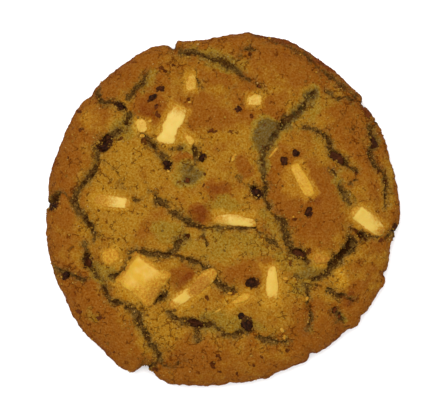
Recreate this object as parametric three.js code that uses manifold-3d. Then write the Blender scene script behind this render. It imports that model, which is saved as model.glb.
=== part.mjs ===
// Cranberry and white chocolate cookie, baked and cooled, lying flat with its cracked side up.
// Millimetres, +Z up. The origin is the middle of the base, on the face that the cookie rests on.
//
// The dough is one solid. Its top has the browned plates that pushed up in the oven and the
// fissures that opened between them. White chocolate pieces and dried cranberries are solids of
// their own, each in a pocket of the dough with a small gap round it.
import * as THREE from 'three';
import { mergeVertices } from 'three/addons/utils/BufferGeometryUtils.js';
import Module from 'manifold-3d';

// ---------------------------------------------------------------- driving dimensions
const MEAN_RADIUS = 44.36;     // middle to rim, averaged all the way round
const CROWN = 14.2;            // height of the dough at its middle
const WIDEST_LEVEL = 4.2;      // height at which the rim bulges out furthest
const BASE_TUCK = 2.0;         // how far the rim curves in below its widest level
const TOP_FLATNESS = 3.1;      // higher is a flatter top with a tighter shoulder
const SHOULDER_ROUND = 2.2;    // higher is a squarer shoulder
const HAIRLINE_DEPTH = 0.45;   // depth of the finest crack
const FISSURE_DEPTH = 1.0;     // what each millimetre of width adds to that depth
const DEEPEST_FISSURE = 3.2;
const SLUMP = 0.8;             // how far the crust sags on either side of a fissure
const SLUMP_REACH = 2.4;       // how far from the fissure that sag reaches
const POCKET_GAP = 0.3;        // clearance between a piece and the dough that holds it
const CRUST_EDGE = 3.5;        // mesh edge of the crust
const WALL_LEVELS = 6;         // rings of faces from the top's edge down to the base

const radians = THREE.MathUtils.degToRad;

// ---------------------------------------------------------------- outline seen from above
// Slow waves of the rim: [waves round the rim, height, direction of the first crest in degrees].
const RIM_WAVES = [
  [1, 0.54, -163],
  [2, 0.84, 44],
  [3, 0.28, -13],
  [4, 0.5, -36],
  [7, 0.2, 19],
];

// Breaks and bulges where a fissure runs out through the rim:
// [direction in degrees, reach beyond the waves, half width in degrees].
const RIM_BREAKS = [
  [17, -0.4, 6],
  [36.8, -0.8, 1.3],
  [39.6, 0.3, 1.6],
  [50, -0.25, 8],
  [70, 0.5, 6],
  [82, 0.6, 1.8],
  [95.5, -0.75, 7],
  [104.6, 0.4, 1],
  [107.1, -1.5, 1.3],
  [115, 0.55, 4],
  [139, -0.5, 1.8],
  [145, 0.3, 3],
  [159, -0.4, 5],
  [175, -0.45, 6],
  [196, 0.35, 10],
  [209, -0.45, 3],
  [224, -0.2, 6],
  [237.6, 0.9, 3.4],
  [240.7, 0.5, 0.9],
  [243.4, -2.0, 1.8],
  [246.6, -1.3, 1.8],
  [254, 0.55, 4],
  [272.5, -0.5, 1.3],
  [285, 0.4, 1.6],
  [298, 0.25, 2],
  [301.4, -0.95, 1.3],
  [313.8, -0.5, 1.4],
  [316, -0.5, 1.3],
  [318.6, 0.55, 3],
  [322.2, -0.35, 1],
  [335.4, 0.5, 2.4],
  [338.4, -0.8, 1.4],
  [347, -0.75, 4.5],
  [359, 0.85, 7],
];

function rimRadius(angle) {
  let radius = MEAN_RADIUS;
  for (const [waves, height, crest] of RIM_WAVES) {
    radius += height * Math.cos(waves * (angle - radians(crest)));
  }
  for (const [direction, reach, halfWidth] of RIM_BREAKS) {
    const turn = angle - radians(direction);
    const away = Math.atan2(Math.sin(turn), Math.cos(turn)) / radians(halfWidth);
    radius += reach * Math.exp(-away * away);
  }
  return radius;
}

// ---------------------------------------------------------------- fissures
// Each is a line of [x, y, width of the opening], drawn through smoothly.
const FISSURES = {
  leftRift: [
    [-32, 30.8, 0.8], [-30.4, 26.8, 0.8], [-26.8, 26.5, 1.4], [-23.5, 24.2, 1.4],
    [-24.2, 21, 1.0], [-27.1, 18.5, 1.5], [-29.6, 16.2, 2.6], [-31.2, 13.8, 1.6],
    [-30.4, 11.2, 1.4], [-33.4, 8.0, 1.4], [-36.4, 3.6, 1.2], [-36.3, 0.7, 1.2],
    [-33.8, -2.6, 1.3], [-32, -5, 1.4], [-32.1, -8, 0.5],
  ],
  leftRiftSpur: [[-25, 26.4, 0.9], [-22.3, 29, 1.0], [-20.4, 31, 1.2], [-18.6, 33.8, 0.6]],
  leftRim: [[-44.2, 1.0, 2.2], [-42.4, 2.6, 1.6], [-40.2, 4.2, 0.9], [-37.4, 2.4, 0.8]],
  topRift: [
    [-12.4, 41, 1.2], [-11.4, 39.6, 0.9], [-7.6, 39, 1.4], [-3.4, 37.6, 1.1],
    [-0.2, 36.8, 1.5], [2.4, 35, 1.5], [5.4, 32.9, 0.8], [9.2, 30.4, 0.9], [10.2, 28.8, 0.4],
  ],
  topRim: [
    [8.2, 43.6, 0.6], [11, 42.4, 0.9], [15.4, 41, 0.8], [20.4, 38.4, 0.8],
    [24, 35.2, 0.8], [28.6, 31.6, 0.8], [34.6, 26.8, 1.0],
  ],
  shelfCrack: [[25.6, 29.2, 0.6], [28, 28, 0.8], [31.2, 27.6, 0.6], [34.9, 26.6, 1.2]],
  rightRift: [
    [22.8, 29.6, 0.8], [21.6, 28.4, 1.5], [20, 25.8, 1.5], [17, 22.9, 1.0],
    [15.4, 21.8, 1.9], [13.4, 19.6, 1.5], [11, 16.6, 1.3], [10, 13, 1.5], [9.7, 10, 0.7],
    [10.4, 6.4, 0.9], [10.4, 2.2, 0.9], [12.4, -1, 1.1], [14.9, -3.8, 1.2],
    [15.6, -7, 1.2], [17.4, -9.8, 1.8], [20, -11.4, 1.5], [20.6, -13.4, 0.6],
  ],
  plateEdge: [
    [16.6, 22.6, 0.6], [18.6, 20.4, 0.8], [22, 20.1, 0.8], [25.4, 17.9, 0.9],
    [26.9, 14.4, 1.4], [28.8, 12.6, 1.9], [31, 10.6, 1.0], [33.2, 9.9, 0.4],
  ],
  plateFoot: [[26.4, 10.6, 0.4], [28.6, 7.2, 0.7], [29.8, 4, 0.9], [31.6, 1.4, 0.5]],
  rightRim: [
    [38.6, 22.6, 0.8], [36.9, 20, 1.5], [38, 17.4, 1.6], [36.8, 13.8, 0.9],
    [38, 10.8, 0.8], [40.4, 8.4, 0.9], [40.8, 4.4, 0.8], [40.5, 0.8, 0.4],
  ],
  centreRift: [
    [-17.7, 5.2, 0.5], [-16.6, 2.6, 1.3], [-12.6, -0.3, 1.3], [-9.2, -2.8, 1.2],
    [-5.8, -4.4, 1.2], [-1.6, -4.4, 0.5], [4.2, -4.6, 1.1], [8.4, -4.2, 0.7],
    [10.4, -6.6, 0.8], [13.8, -9.3, 0.8],
  ],
  berryCrack: [[3.2, 7.9, 0.4], [6.6, 6, 0.9], [8.6, 4.2, 1.6], [10.2, 2.6, 0.6]],
  leftHairline: [[-26.8, 9.6, 0.4], [-24.8, 6.4, 0.5], [-22.6, 3.2, 0.5], [-20.4, 2.1, 0.3]],
  upperRow: [[-20, 18.6, 0.5], [-17.4, 16.4, 0.9], [-15.4, 13.6, 1.0], [-13.6, 10.8, 1.3]],
  upperSpur: [[-7.4, 16.2, 0.5], [-6.8, 13.6, 1.1], [-6.6, 11.2, 0.7], [-8.6, 9.4, 0.4]],
  lowerLeftRift: [
    [-34.5, -8.2, 0.9], [-33.6, -12.6, 1.6], [-31.6, -15.6, 1.2], [-29.4, -19, 1.1],
    [-28, -22, 1.2], [-24.4, -23.8, 1.0], [-21.5, -25.4, 1.7], [-20.2, -29, 1.3],
    [-18.8, -32, 1.4], [-16.3, -35.6, 1.1], [-16.2, -38, 1.0], [-19.4, -39.6, 1.6],
  ],
  lowerLeftRim: [[-42, -14.6, 1.0], [-39.9, -16, 1.3], [-37.2, -16.3, 0.9], [-34.4, -17.4, 0.8]],
  underChunk: [
    [-21.4, -24.8, 0.8], [-18.6, -24, 1.3], [-16.2, -22, 1.8], [-13.6, -19.8, 1.0],
    [-13.2, -16.8, 0.5],
  ],
  besideChunk: [[-28, -16.3, 0.5], [-25.8, -16.2, 0.9], [-23, -13.6, 0.7], [-23, -11, 0.7]],
  aboveChunk: [
    [-23.2, -10.8, 0.6], [-20.4, -10.3, 1.1], [-16.4, -11.2, 1.4], [-12.2, -10.4, 1.2],
    [-11.2, -8, 1.1], [-8.7, -6.4, 0.9],
  ],
  middleRift: [
    [-12, -10.8, 0.8], [-8, -12.4, 1.0], [-5.2, -13.6, 1.1], [-2.8, -15.8, 1.2],
    [0, -18.8, 1.1], [3, -20.4, 0.6],
  ],
  lowerRift: [
    [-13.7, -25.4, 0.9], [-10, -27.4, 1.2], [-6.2, -28.3, 2.0], [-2.2, -28.4, 0.9],
    [0.4, -31, 0.9], [4.4, -30.6, 1.0], [7.8, -30, 1.0], [10.6, -32.3, 1.3],
    [15.8, -32.7, 0.7],
  ],
  lowerSpur: [[-6.2, -28.8, 1.0], [-6.2, -32.2, 0.8]],
  rightFissure: [
    [31.8, -6.8, 0.9], [31.7, -8.9, 2.4], [29, -11.2, 2.4], [26.7, -14, 1.7],
    [24.4, -16.5, 1.3], [21.2, -17.1, 0.8], [17.4, -16.4, 0.4],
  ],
  edgeCrack: [
    [31.6, -4.4, 0.9], [34.2, -6.2, 1.4], [37.4, -6.7, 0.8], [40.8, -6.9, 0.9], [44.4, -5, 1.4],
  ],
  lowerRightCrack: [[20.4, -18.6, 0.9], [24.2, -19, 0.8], [28.2, -21, 1.0], [32.6, -22.6, 0.6]],
  lowerRightSeam: [[20.6, -19, 0.7], [21.2, -23.6, 0.5], [21.7, -27.2, 0.9], [20.4, -30.4, 0.4]],
  lowerRightPit: [[27.6, -24.8, 0.6], [28.8, -26.8, 1.4], [30.4, -28.4, 0.6]],
};

const SPAN_STEPS = 2;          // straight steps drawn between two points of a fissure

// Points along one fissure, evenly shared out between the given ones; z holds the width.
function drawnLine(points) {
  const line = new THREE.CatmullRomCurve3(
    points.map(([x, y, width]) => new THREE.Vector3(x, y, width)), false, 'catmullrom', 0.5);
  return line.getPoints((points.length - 1) * SPAN_STEPS);
}

const LINES = Object.values(FISSURES).map(drawnLine);

// Distance from a point to a straight step of a line.
function stepDistance(from, to, x, y) {
  const alongX = to.x - from.x;
  const alongY = to.y - from.y;
  const share = ((x - from.x) * alongX + (y - from.y) * alongY) / (alongX ** 2 + alongY ** 2);
  const t = THREE.MathUtils.clamp(share, 0, 1);
  return Math.hypot(x - from.x - t * alongX, y - from.y - t * alongY);
}

function fissureDistance(x, y) {
  let nearest = Infinity;
  for (const line of LINES) {
    for (let i = 1; i < line.length; i += 1) {
      nearest = Math.min(nearest, stepDistance(line[i - 1], line[i], x, y));
    }
  }
  return nearest;
}

// ---------------------------------------------------------------- plates
// Browned bumps of the crust: [x, y, half length, half width, turn in degrees, rise].
const PLATES = [
  [20.5, 5, 14.5, 8.8, -62, 1.0],
  [-9, -16.9, 3.6, 3.2, 0, 0.9],
  [6.2, -14.6, 6, 4.4, 0, 0.7],
  [34.5, -13.5, 6.5, 5, 60, 0.7],
  [-38.5, 12, 9, 4, 68, 0.5],
  [-29, -29.5, 11, 6, -46, 0.6],
  [-24, 32.5, 9, 3.6, 38, 0.5],
  [15, 34.5, 12, 6, -25, 0.6],
  [28, 23.5, 7, 3.6, -30, 0.5],
  [-39.5, -6, 4, 8, 6, 0.5],
  [-30.5, 21.5, 5.4, 3.6, 20, 0.6],
  [-6.5, 0.4, 3, 2.4, 40, 0.8],
  [-1.6, 5.2, 4, 3.2, 30, 0.5],
  [-26.8, -12.8, 3.6, 3, -30, 0.9],
  [-12.6, 25.6, 4.2, 3, 60, 0.5],
  [24, -31.5, 7, 4, 38, 0.5],
  [-8, -34.5, 8, 4.6, -10, 0.5],
  [11, -26.5, 5.4, 4.4, 0, 0.5],
  [-21, 13, 8, 6, -30, 0.4],
  [0, 26, 8, 6, 20, 0.4],
  [36.8, 5.6, 6, 3, 84, 0.4],
];

function plateRise(x, y) {
  let rise = 0;
  for (const [cx, cy, halfLength, halfWidth, turn, height] of PLATES) {
    const c = Math.cos(radians(turn));
    const s = Math.sin(radians(turn));
    const u = ((x - cx) * c + (y - cy) * s) / halfLength;
    const v = (-(x - cx) * s + (y - cy) * c) / halfWidth;
    rise += height * Math.exp(-((u * u + v * v) ** 2));
  }
  return rise;
}

// ---------------------------------------------------------------- height of the top
// Height of the puffed dough before any plate or fissure, by its share of the way to the rim.
function bunHeight(share) {
  const inside = Math.max(0, 1 - share ** TOP_FLATNESS);
  return WIDEST_LEVEL + (CROWN - WIDEST_LEVEL) * inside ** (1 / SHOULDER_ROUND);
}

// Height of the crust with its plates, sagging on either side of each fissure.
function crustHeight(x, y) {
  const share = Math.min(1, Math.hypot(x, y) / rimRadius(Math.atan2(y, x)));
  const sag = SLUMP * Math.exp(-((fissureDistance(x, y) / SLUMP_REACH) ** 2));
  const inland = 1 - share ** 8;
  return bunHeight(share) + (plateRise(x, y) - sag) * inland;
}

// ---------------------------------------------------------------- dough before it cracks
const TOP_REACH = 0.97;        // share of the radius at which the top hands over to the rim wall

// A square sent to a disc with no pinched corners, so that a plain grid can cover a round top.
function squareToDisc(a, b) {
  const share = Math.max(Math.abs(a), Math.abs(b));
  if (share === 0) return { share, angle: 0 };
  const eighth = Math.PI / 4;
  if (Math.abs(a) > Math.abs(b)) {
    return { share, angle: (a > 0 ? 0 : Math.PI) + (eighth * b) / a };
  }
  return { share, angle: (b > 0 ? 2 : 6) * eighth - (eighth * a) / b };
}

function topPoint(share, angle) {
  const radius = share * TOP_REACH * rimRadius(angle);
  const x = radius * Math.cos(angle);
  const y = radius * Math.sin(angle);
  return [x, y, crustHeight(x, y)];
}

// A point of the rim wall. level is 1 at the top's edge, 0.5 where the rim is widest, 0 below.
function wallPoint(angle, level) {
  const full = rimRadius(angle);
  const shoulder = bunHeight(TOP_REACH);
  let z = WIDEST_LEVEL * 2 * level;
  let radius = full - BASE_TUCK * (1 - Math.sqrt(1 - (1 - 2 * level) ** 2));
  if (level > 0.5) {
    z = WIDEST_LEVEL + (shoulder - WIDEST_LEVEL) * (2 * level - 1);
    const rise = (z - WIDEST_LEVEL) / (CROWN - WIDEST_LEVEL);
    radius = full * (1 - rise ** SHOULDER_ROUND) ** (1 / TOP_FLATNESS);
  }
  return [radius * Math.cos(angle), radius * Math.sin(angle), z];
}

// The closed puck: a square grid on top, rings of faces down the wall, and a fan for the base.
function puck() {
  const cells = Math.round((2 * MEAN_RADIUS) / CRUST_EDGE);
  const points = [];
  const triangles = [];
  const quad = (a, b, c, d) => triangles.push(a, b, c, a, c, d);
  const gridIndex = (i, j) => j * (cells + 1) + i;

  const angles = [];
  for (let j = 0; j <= cells; j += 1) {
    for (let i = 0; i <= cells; i += 1) {
      const { share, angle } = squareToDisc((2 * i) / cells - 1, (2 * j) / cells - 1);
      angles.push(angle);
      points.push(topPoint(share, angle));
    }
  }
  for (let j = 0; j < cells; j += 1) {
    for (let i = 0; i < cells; i += 1) {
      quad(gridIndex(i, j), gridIndex(i + 1, j), gridIndex(i + 1, j + 1), gridIndex(i, j + 1));
    }
  }

  let ring = [];
  for (let i = 0; i < cells; i += 1) ring.push(gridIndex(i, 0));
  for (let j = 0; j < cells; j += 1) ring.push(gridIndex(cells, j));
  for (let i = cells; i > 0; i -= 1) ring.push(gridIndex(i, cells));
  for (let j = cells; j > 0; j -= 1) ring.push(gridIndex(0, j));
  const ringAngles = ring.map((index) => angles[index]);
  for (let step = 1; step <= WALL_LEVELS; step += 1) {
    const upper = ring;
    ring = ringAngles.map((angle) => points.push(wallPoint(angle, 1 - step / WALL_LEVELS)) - 1);
    for (let i = 0; i < ring.length; i += 1) {
      const next = (i + 1) % ring.length;
      quad(upper[i], ring[i], ring[next], upper[next]);
    }
  }

  const baseMiddle = points.push([0, 0, 0]) - 1;
  for (let i = 0; i < ring.length; i += 1) {
    triangles.push(baseMiddle, ring[(i + 1) % ring.length], ring[i]);
  }
  return closedGeometry(points, triangles);
}

function closedGeometry(points, triangles) {
  const geometry = new THREE.BufferGeometry();
  geometry.setAttribute('position', new THREE.Float32BufferAttribute(points.flat(), 3));
  geometry.setIndex(triangles);
  return geometry;
}

// ---------------------------------------------------------------- cutting the fissures
const CUT_ABOVE = 1.4;         // how far each cut stands clear of the crust

// The lips of a fissure are ragged: each side's distance from the line wanders by itself.
function ragged(x, y, side) {
  return 1 + 0.28 * Math.sin(2.3 * x + 1.7 * y + 4 * side) + 0.16 * Math.sin(5.1 * y - 3.3 * x);
}

// A wedge with its sharp edge down, drawn along one fissure.
function fissureWedge(line) {
  const points = [];
  const triangles = [];
  line.forEach(({ x, y, z: width }, i) => {
    const before = line[Math.max(0, i - 1)];
    const after = line[Math.min(line.length - 1, i + 1)];
    const along = Math.hypot(after.x - before.x, after.y - before.y);
    const acrossX = -(after.y - before.y) / along;
    const acrossY = (after.x - before.x) / along;
    const depth = Math.min(DEEPEST_FISSURE, HAIRLINE_DEPTH + FISSURE_DEPTH * width);
    const spread = (0.5 * width * (depth + CUT_ABOVE)) / depth;
    const level = crustHeight(x, y);
    const left = spread * ragged(x, y, 0);
    const right = spread * ragged(x, y, 1);
    points.push([x, y, level - depth]);
    points.push([x + acrossX * left, y + acrossY * left, level + CUT_ABOVE]);
    points.push([x - acrossX * right, y - acrossY * right, level + CUT_ABOVE]);
  });
  for (let i = 0; i + 1 < line.length; i += 1) {
    const [floor, left, right] = [3 * i, 3 * i + 1, 3 * i + 2];
    triangles.push(floor, left + 3, floor + 3, floor, left, left + 3);
    triangles.push(right, floor + 3, right + 3, right, floor, floor + 3);
    triangles.push(left, right + 3, left + 3, left, right, right + 3);
  }
  const last = 3 * (line.length - 1);
  triangles.push(0, 2, 1, last, last + 1, last + 2);
  return closedGeometry(points, triangles);
}

// ---------------------------------------------------------------- pieces held in the dough
// [x, y, length, width, thickness, turn in degrees, how far its top stands above the crust]
const WHITE_CHOCOLATE = [
  [-12.7, 20.5, 9.8, 4.4, 4.4, 68, 0.7],
  [-7.9, 31.5, 5.2, 2.7, 3.0, 88, 0.3],
  [7.8, 27.0, 3.6, 3.3, 3.0, 10, 0.4],
  [-20.1, 20.5, 3.2, 3.0, 1.8, 0, 0.35],
  [-8.8, 17.4, 3.4, 2.0, 2.0, -52, 0.3],
  [19.4, 7.3, 8.6, 3.0, 3.4, -61, 0.5],
  [-26.4, 2.0, 7.2, 2.8, 3.0, -9, 0.35],
  [2.4, -2.4, 9.8, 3.1, 3.2, -5, 0.4],
  [35.6, -2.4, 9.8, 4.5, 4.0, -39, 0.55],
  [-20.3, -17.3, 9.4, 9.2, 5.0, -29, 0.8],
  [-7.4, -19.7, 11.4, 3.2, 3.2, 40, 0.45],
  [12.1, -18.5, 9.8, 2.7, 3.4, 92, 0.6],
  [-27.6, -11.5, 3.5, 3.2, 2.4, 20, 0.35],
];

const FLAKES = [
  [4.4, -21.8, 6.2, 2.2, 1.2, 23, 0.5],
  [24.4, -12.3, 4.2, 2.5, 1.2, -14, 0.5],
];

const CRANBERRIES = [
  [-29.2, 16.3, 5.2, 3.3, 2.8, 36, -0.9],
  [-42.4, 1.0, 2.8, 2.6, 2.4, 88, 0.3],
  [-25.8, 25.8, 3.8, 1.8, 2.0, -32, -0.4],
  [8.4, 4.1, 3.7, 2.9, 2.6, -20, 0.0],
  [21.2, -0.9, 2.6, 2.4, 2.2, 60, 0.25],
  [28.3, 12.9, 4.3, 2.2, 2.2, -36, -0.3],
  [37.8, 16.9, 3.4, 1.9, 2.0, 100, -0.2],
  [36.0, 24.3, 3.2, 1.6, 1.8, -64, 0.3],
  [7.3, -18.0, 3.6, 2.6, 2.4, -12, 0.3],
  [5.7, -27.9, 4.9, 3.0, 2.8, -60, 0.0],
  [18.8, -11.0, 4.0, 2.3, 2.2, -28, -0.3],
  [-6.6, -28.2, 4.4, 2.3, 2.2, -6, -0.5],
  [-33.6, -12.9, 3.0, 2.3, 2.2, 70, -0.5],
  [-13.8, 10.9, 2.4, 2.2, 2.0, 0, 0.0],
];

// Bits of cranberry too small to part from the dough: they are bumps of it.
const CRANBERRY_BITS = [
  [-17.4, 27.6, 2.5, 1.5, 1.4, 38, 0.35],
  [-5.2, 12.8, 2.3, 1.7, 1.5, 75, 0.35],
  [15.0, 12.0, 2.1, 1.7, 1.5, 80, 0.35],
  [17.8, 13.8, 2.3, 1.8, 1.5, 28, 0.35],
  [3.8, 24.8, 2.1, 1.5, 1.4, -12, 0.3],
  [-15.4, 29.9, 2.0, 1.7, 1.4, 30, 0.3],
];

const PIECE_EDGE = 2.0;        // mesh edge of a held piece, as near as whole faces allow

// A rounded block: a box whose points are drawn in from its corners. grow adds to every side.
function roundedBlock(size, squareness, grow) {
  const faces = size.map((length) => Math.max(2, Math.round(length / PIECE_EDGE)));
  const box = new THREE.BoxGeometry(2, 2, 2, ...faces);
  box.deleteAttribute('normal');
  box.deleteAttribute('uv');
  const block = mergeVertices(box, 1e-4);
  const place = block.getAttribute('position');
  for (let i = 0; i < place.count; i += 1) {
    const cube = [place.getX(i), place.getY(i), place.getZ(i)];
    const sum = cube.reduce((total, part) => total + Math.abs(part) ** squareness, 0);
    const pull = sum ** (-1 / squareness);
    place.setXYZ(i, ...cube.map((part, axis) => part * pull * (size[axis] / 2 + grow)));
  }
  return block;
}

// Stands a block in the crust, leaning with it, its top the given height above it.
function setInCrust(block, [x, y, , , thickness, turn, proud]) {
  const step = 1.5;
  const slopeX = (crustHeight(x + step, y) - crustHeight(x - step, y)) / (2 * step);
  const slopeY = (crustHeight(x, y + step) - crustHeight(x, y - step)) / (2 * step);
  const up = new THREE.Vector3(-slopeX, -slopeY, 1).normalize();
  const lean = new THREE.Quaternion().setFromUnitVectors(new THREE.Vector3(0, 0, 1), up);
  const spin = new THREE.Quaternion().setFromAxisAngle(
    new THREE.Vector3(0, 0, 1), radians(turn));
  const centre = new THREE.Vector3(x, y, crustHeight(x, y));
  centre.addScaledVector(up, proud - thickness / 2);
  const matrix = new THREE.Matrix4().compose(
    centre, lean.multiply(spin), new THREE.Vector3(1, 1, 1));
  return block.clone().applyMatrix4(matrix);
}

function pieces(rows, label, squareness, material) {
  return rows.map((row, i) => {
    const size = row.slice(2, 5);
    return {
      name: `${label}_${String(i + 1).padStart(2, '0')}`,
      material,
      geometry: setInCrust(roundedBlock(size, squareness, 0), row),
      pocket: setInCrust(roundedBlock(size, squareness, POCKET_GAP), row),
    };
  });
}

// ---------------------------------------------------------------- joining and cutting
const wasm = await Module();
wasm.setup();

function solidOf(geometry) {
  return new wasm.Manifold(new wasm.Mesh({
    numProp: 3,
    vertProperties: new Float32Array(geometry.getAttribute('position').array),
    triVerts: new Uint32Array(geometry.index.array),
  }));
}

function geometryOf(solid) {
  const { vertProperties, triVerts } = solid.getMesh();
  const geometry = new THREE.BufferGeometry();
  geometry.setAttribute('position', new THREE.BufferAttribute(vertProperties, 3));
  geometry.setIndex(new THREE.BufferAttribute(triVerts, 1));
  return geometry;
}

// ---------------------------------------------------------------- the cookie
const crust = new THREE.MeshStandardMaterial({ color: 0xa8681c, roughness: 0.85 });
const ivory = new THREE.MeshStandardMaterial({ color: 0xe8c76a, roughness: 0.45 });
const berry = new THREE.MeshStandardMaterial({ color: 0x2e1418, roughness: 0.5 });

const heldPieces = [
  ...pieces(WHITE_CHOCOLATE, 'white_chocolate', 3.2, ivory),
  ...pieces(FLAKES, 'chocolate_flake', 3.0, ivory),
  ...pieces(CRANBERRIES, 'cranberry', 2.3, berry),
];

// Cutting can leave loose slivers of crust between two cuts: only the largest body is the dough.
function largestBody(solid) {
  return solid.decompose().reduce((a, b) => (b.volume() > a.volume() ? b : a));
}

function crackedDough() {
  let dough = solidOf(puck());
  for (const row of CRANBERRY_BITS) {
    dough = dough.add(solidOf(setInCrust(roundedBlock(row.slice(2, 5), 2.3, 0), row)));
  }
  for (const line of LINES) {
    dough = dough.subtract(solidOf(fissureWedge(line)));
  }
  for (const { pocket } of heldPieces) {
    dough = dough.subtract(solidOf(pocket));
  }
  return geometryOf(largestBody(dough));
}

function addMesh(group, name, geometry, material) {
  const mesh = new THREE.Mesh(geometry, material);
  mesh.name = name;
  group.add(mesh);
}

const cookie = new THREE.Group();
addMesh(cookie, 'dough', crackedDough(), crust);
for (const { name, material, geometry } of heldPieces) {
  addMesh(cookie, name, geometry, material);
}

// The middle of the cookie's width and depth goes over the origin.
const middle = new THREE.Box3().setFromObject(cookie).getCenter(new THREE.Vector3());
for (const mesh of cookie.children) {
  mesh.geometry.translate(-middle.x, -middle.y, 0);
}

export default cookie;
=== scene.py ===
# %% [markdown]
# # A cranberry and white chocolate cookie
# The real thing is a scoop of soft dough that slumps into a disc in the oven. Its skin sets and
# browns first, the inside keeps rising, and the skin breaks into plates with fissures between
# them. Chopped white chocolate and dried cranberries show where the skin is thin. Every form
# below starts from that: a bun, its plates, its fissures, and then the pieces set into it.

import math

import bmesh
import bpy
import numpy as np
from mathutils import Matrix, Vector, noise


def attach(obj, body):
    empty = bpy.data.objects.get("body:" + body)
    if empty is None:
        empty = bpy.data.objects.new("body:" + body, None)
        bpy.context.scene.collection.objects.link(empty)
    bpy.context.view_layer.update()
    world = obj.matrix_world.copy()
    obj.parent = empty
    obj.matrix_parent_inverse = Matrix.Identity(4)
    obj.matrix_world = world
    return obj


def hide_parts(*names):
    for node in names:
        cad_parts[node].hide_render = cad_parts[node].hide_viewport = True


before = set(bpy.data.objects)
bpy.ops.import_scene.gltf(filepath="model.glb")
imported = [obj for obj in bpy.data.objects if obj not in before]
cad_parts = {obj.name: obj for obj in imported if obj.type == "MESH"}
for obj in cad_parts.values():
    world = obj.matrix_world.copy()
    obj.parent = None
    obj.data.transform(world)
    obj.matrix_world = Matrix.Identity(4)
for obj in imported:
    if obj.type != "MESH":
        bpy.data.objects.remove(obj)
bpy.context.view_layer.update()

# %% [markdown]
# ## Sizes
# Lengths are worked in millimetres, because a fissure of 1.2 is easier to think about than one of
# 0.0012, and each mesh is made in metres at the very end. These are the sizes that the solids
# have, so the detailed dough lies where its plain solid is.

# %% Sizes of the bun
MM = 0.001
MEAN_RADIUS = 44.36    # middle to rim, averaged all the way round
CROWN = 14.2           # height of the dough at its middle
WIDEST_LEVEL = 4.2     # height at which the rim bulges out furthest
BASE_TUCK = 2.0        # how far the rim curves in below that
TOP_FLATNESS = 3.1     # higher is a flatter top with a tighter shoulder
SHOULDER_ROUND = 2.2   # higher is a squarer shoulder
HAIRLINE_DEPTH = 0.45  # depth of the finest crack
FISSURE_DEPTH = 1.0    # what each mm of width adds to that depth
DEEPEST_FISSURE = 3.2
SLUMP = 0.8            # how far the crust sags beside a fissure
SLUMP_REACH = 2.4      # how far from the fissure that sag reaches

# %% [markdown]
# ## The rim seen from above
# A cookie's rim is a circle that lost its shape slowly: a few long waves, then short breaks where
# a fissure runs out through it. Waves and breaks are added up for any direction, so the same
# function serves the top, the wall and the base.

# %% Rim waves and breaks
# [waves round the rim, height in mm, direction of the first crest in degrees]
RIM_WAVES = [
    [1, 0.54, -163], [2, 0.84, 44], [3, 0.28, -13], [4, 0.5, -36], [7, 0.2, 19],
]
# [direction in degrees, reach in mm, half width in degrees]
RIM_BREAKS = [
    [17, -0.4, 6], [36.8, -0.8, 1.3], [39.6, 0.3, 1.6], [50, -0.25, 8], [70, 0.5, 6],
    [82, 0.6, 1.8], [95.5, -0.75, 7], [104.6, 0.4, 1], [107.1, -1.5, 1.3], [115, 0.55, 4],
    [139, -0.5, 1.8], [145, 0.3, 3], [159, -0.4, 5], [175, -0.45, 6], [196, 0.35, 10],
    [209, -0.45, 3], [224, -0.2, 6], [237.6, 0.9, 3.4], [240.7, 0.5, 0.9], [243.4, -2.0, 1.8],
    [246.6, -1.3, 1.8], [254, 0.55, 4], [272.5, -0.5, 1.3], [285, 0.4, 1.6], [298, 0.25, 2],
    [301.4, -0.95, 1.3], [313.8, -0.5, 1.4], [316, -0.5, 1.3], [318.6, 0.55, 3], [322.2, -0.35, 1],
    [335.4, 0.5, 2.4], [338.4, -0.8, 1.4], [347, -0.75, 4.5], [359, 0.85, 7],
]


def rim_radius(angle):
    """Distance from the middle to the rim, in mm, for each direction in radians."""
    radius = np.full(np.shape(angle), MEAN_RADIUS)
    for waves, height, crest in RIM_WAVES:
        radius += height * np.cos(waves * (angle - math.radians(crest)))
    for direction, reach, half_width in RIM_BREAKS:
        turn = angle - math.radians(direction)
        away = np.arctan2(np.sin(turn), np.cos(turn)) / math.radians(half_width)
        radius += reach * np.exp(-away * away)
    return radius


every_way = rim_radius(np.linspace(-math.pi, math.pi, 720, endpoint=False))
print("rim from %.1f to %.1f mm" % (every_way.min(), every_way.max()))

# %% [markdown]
# ## The fissures
# Each is a line of [x, y, width], read as the baker would see it from above and drawn through
# smoothly. The widths carry the depth too: a wide fissure is a deep one. The hairlines at the end
# are finer than the solids hold.

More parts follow.
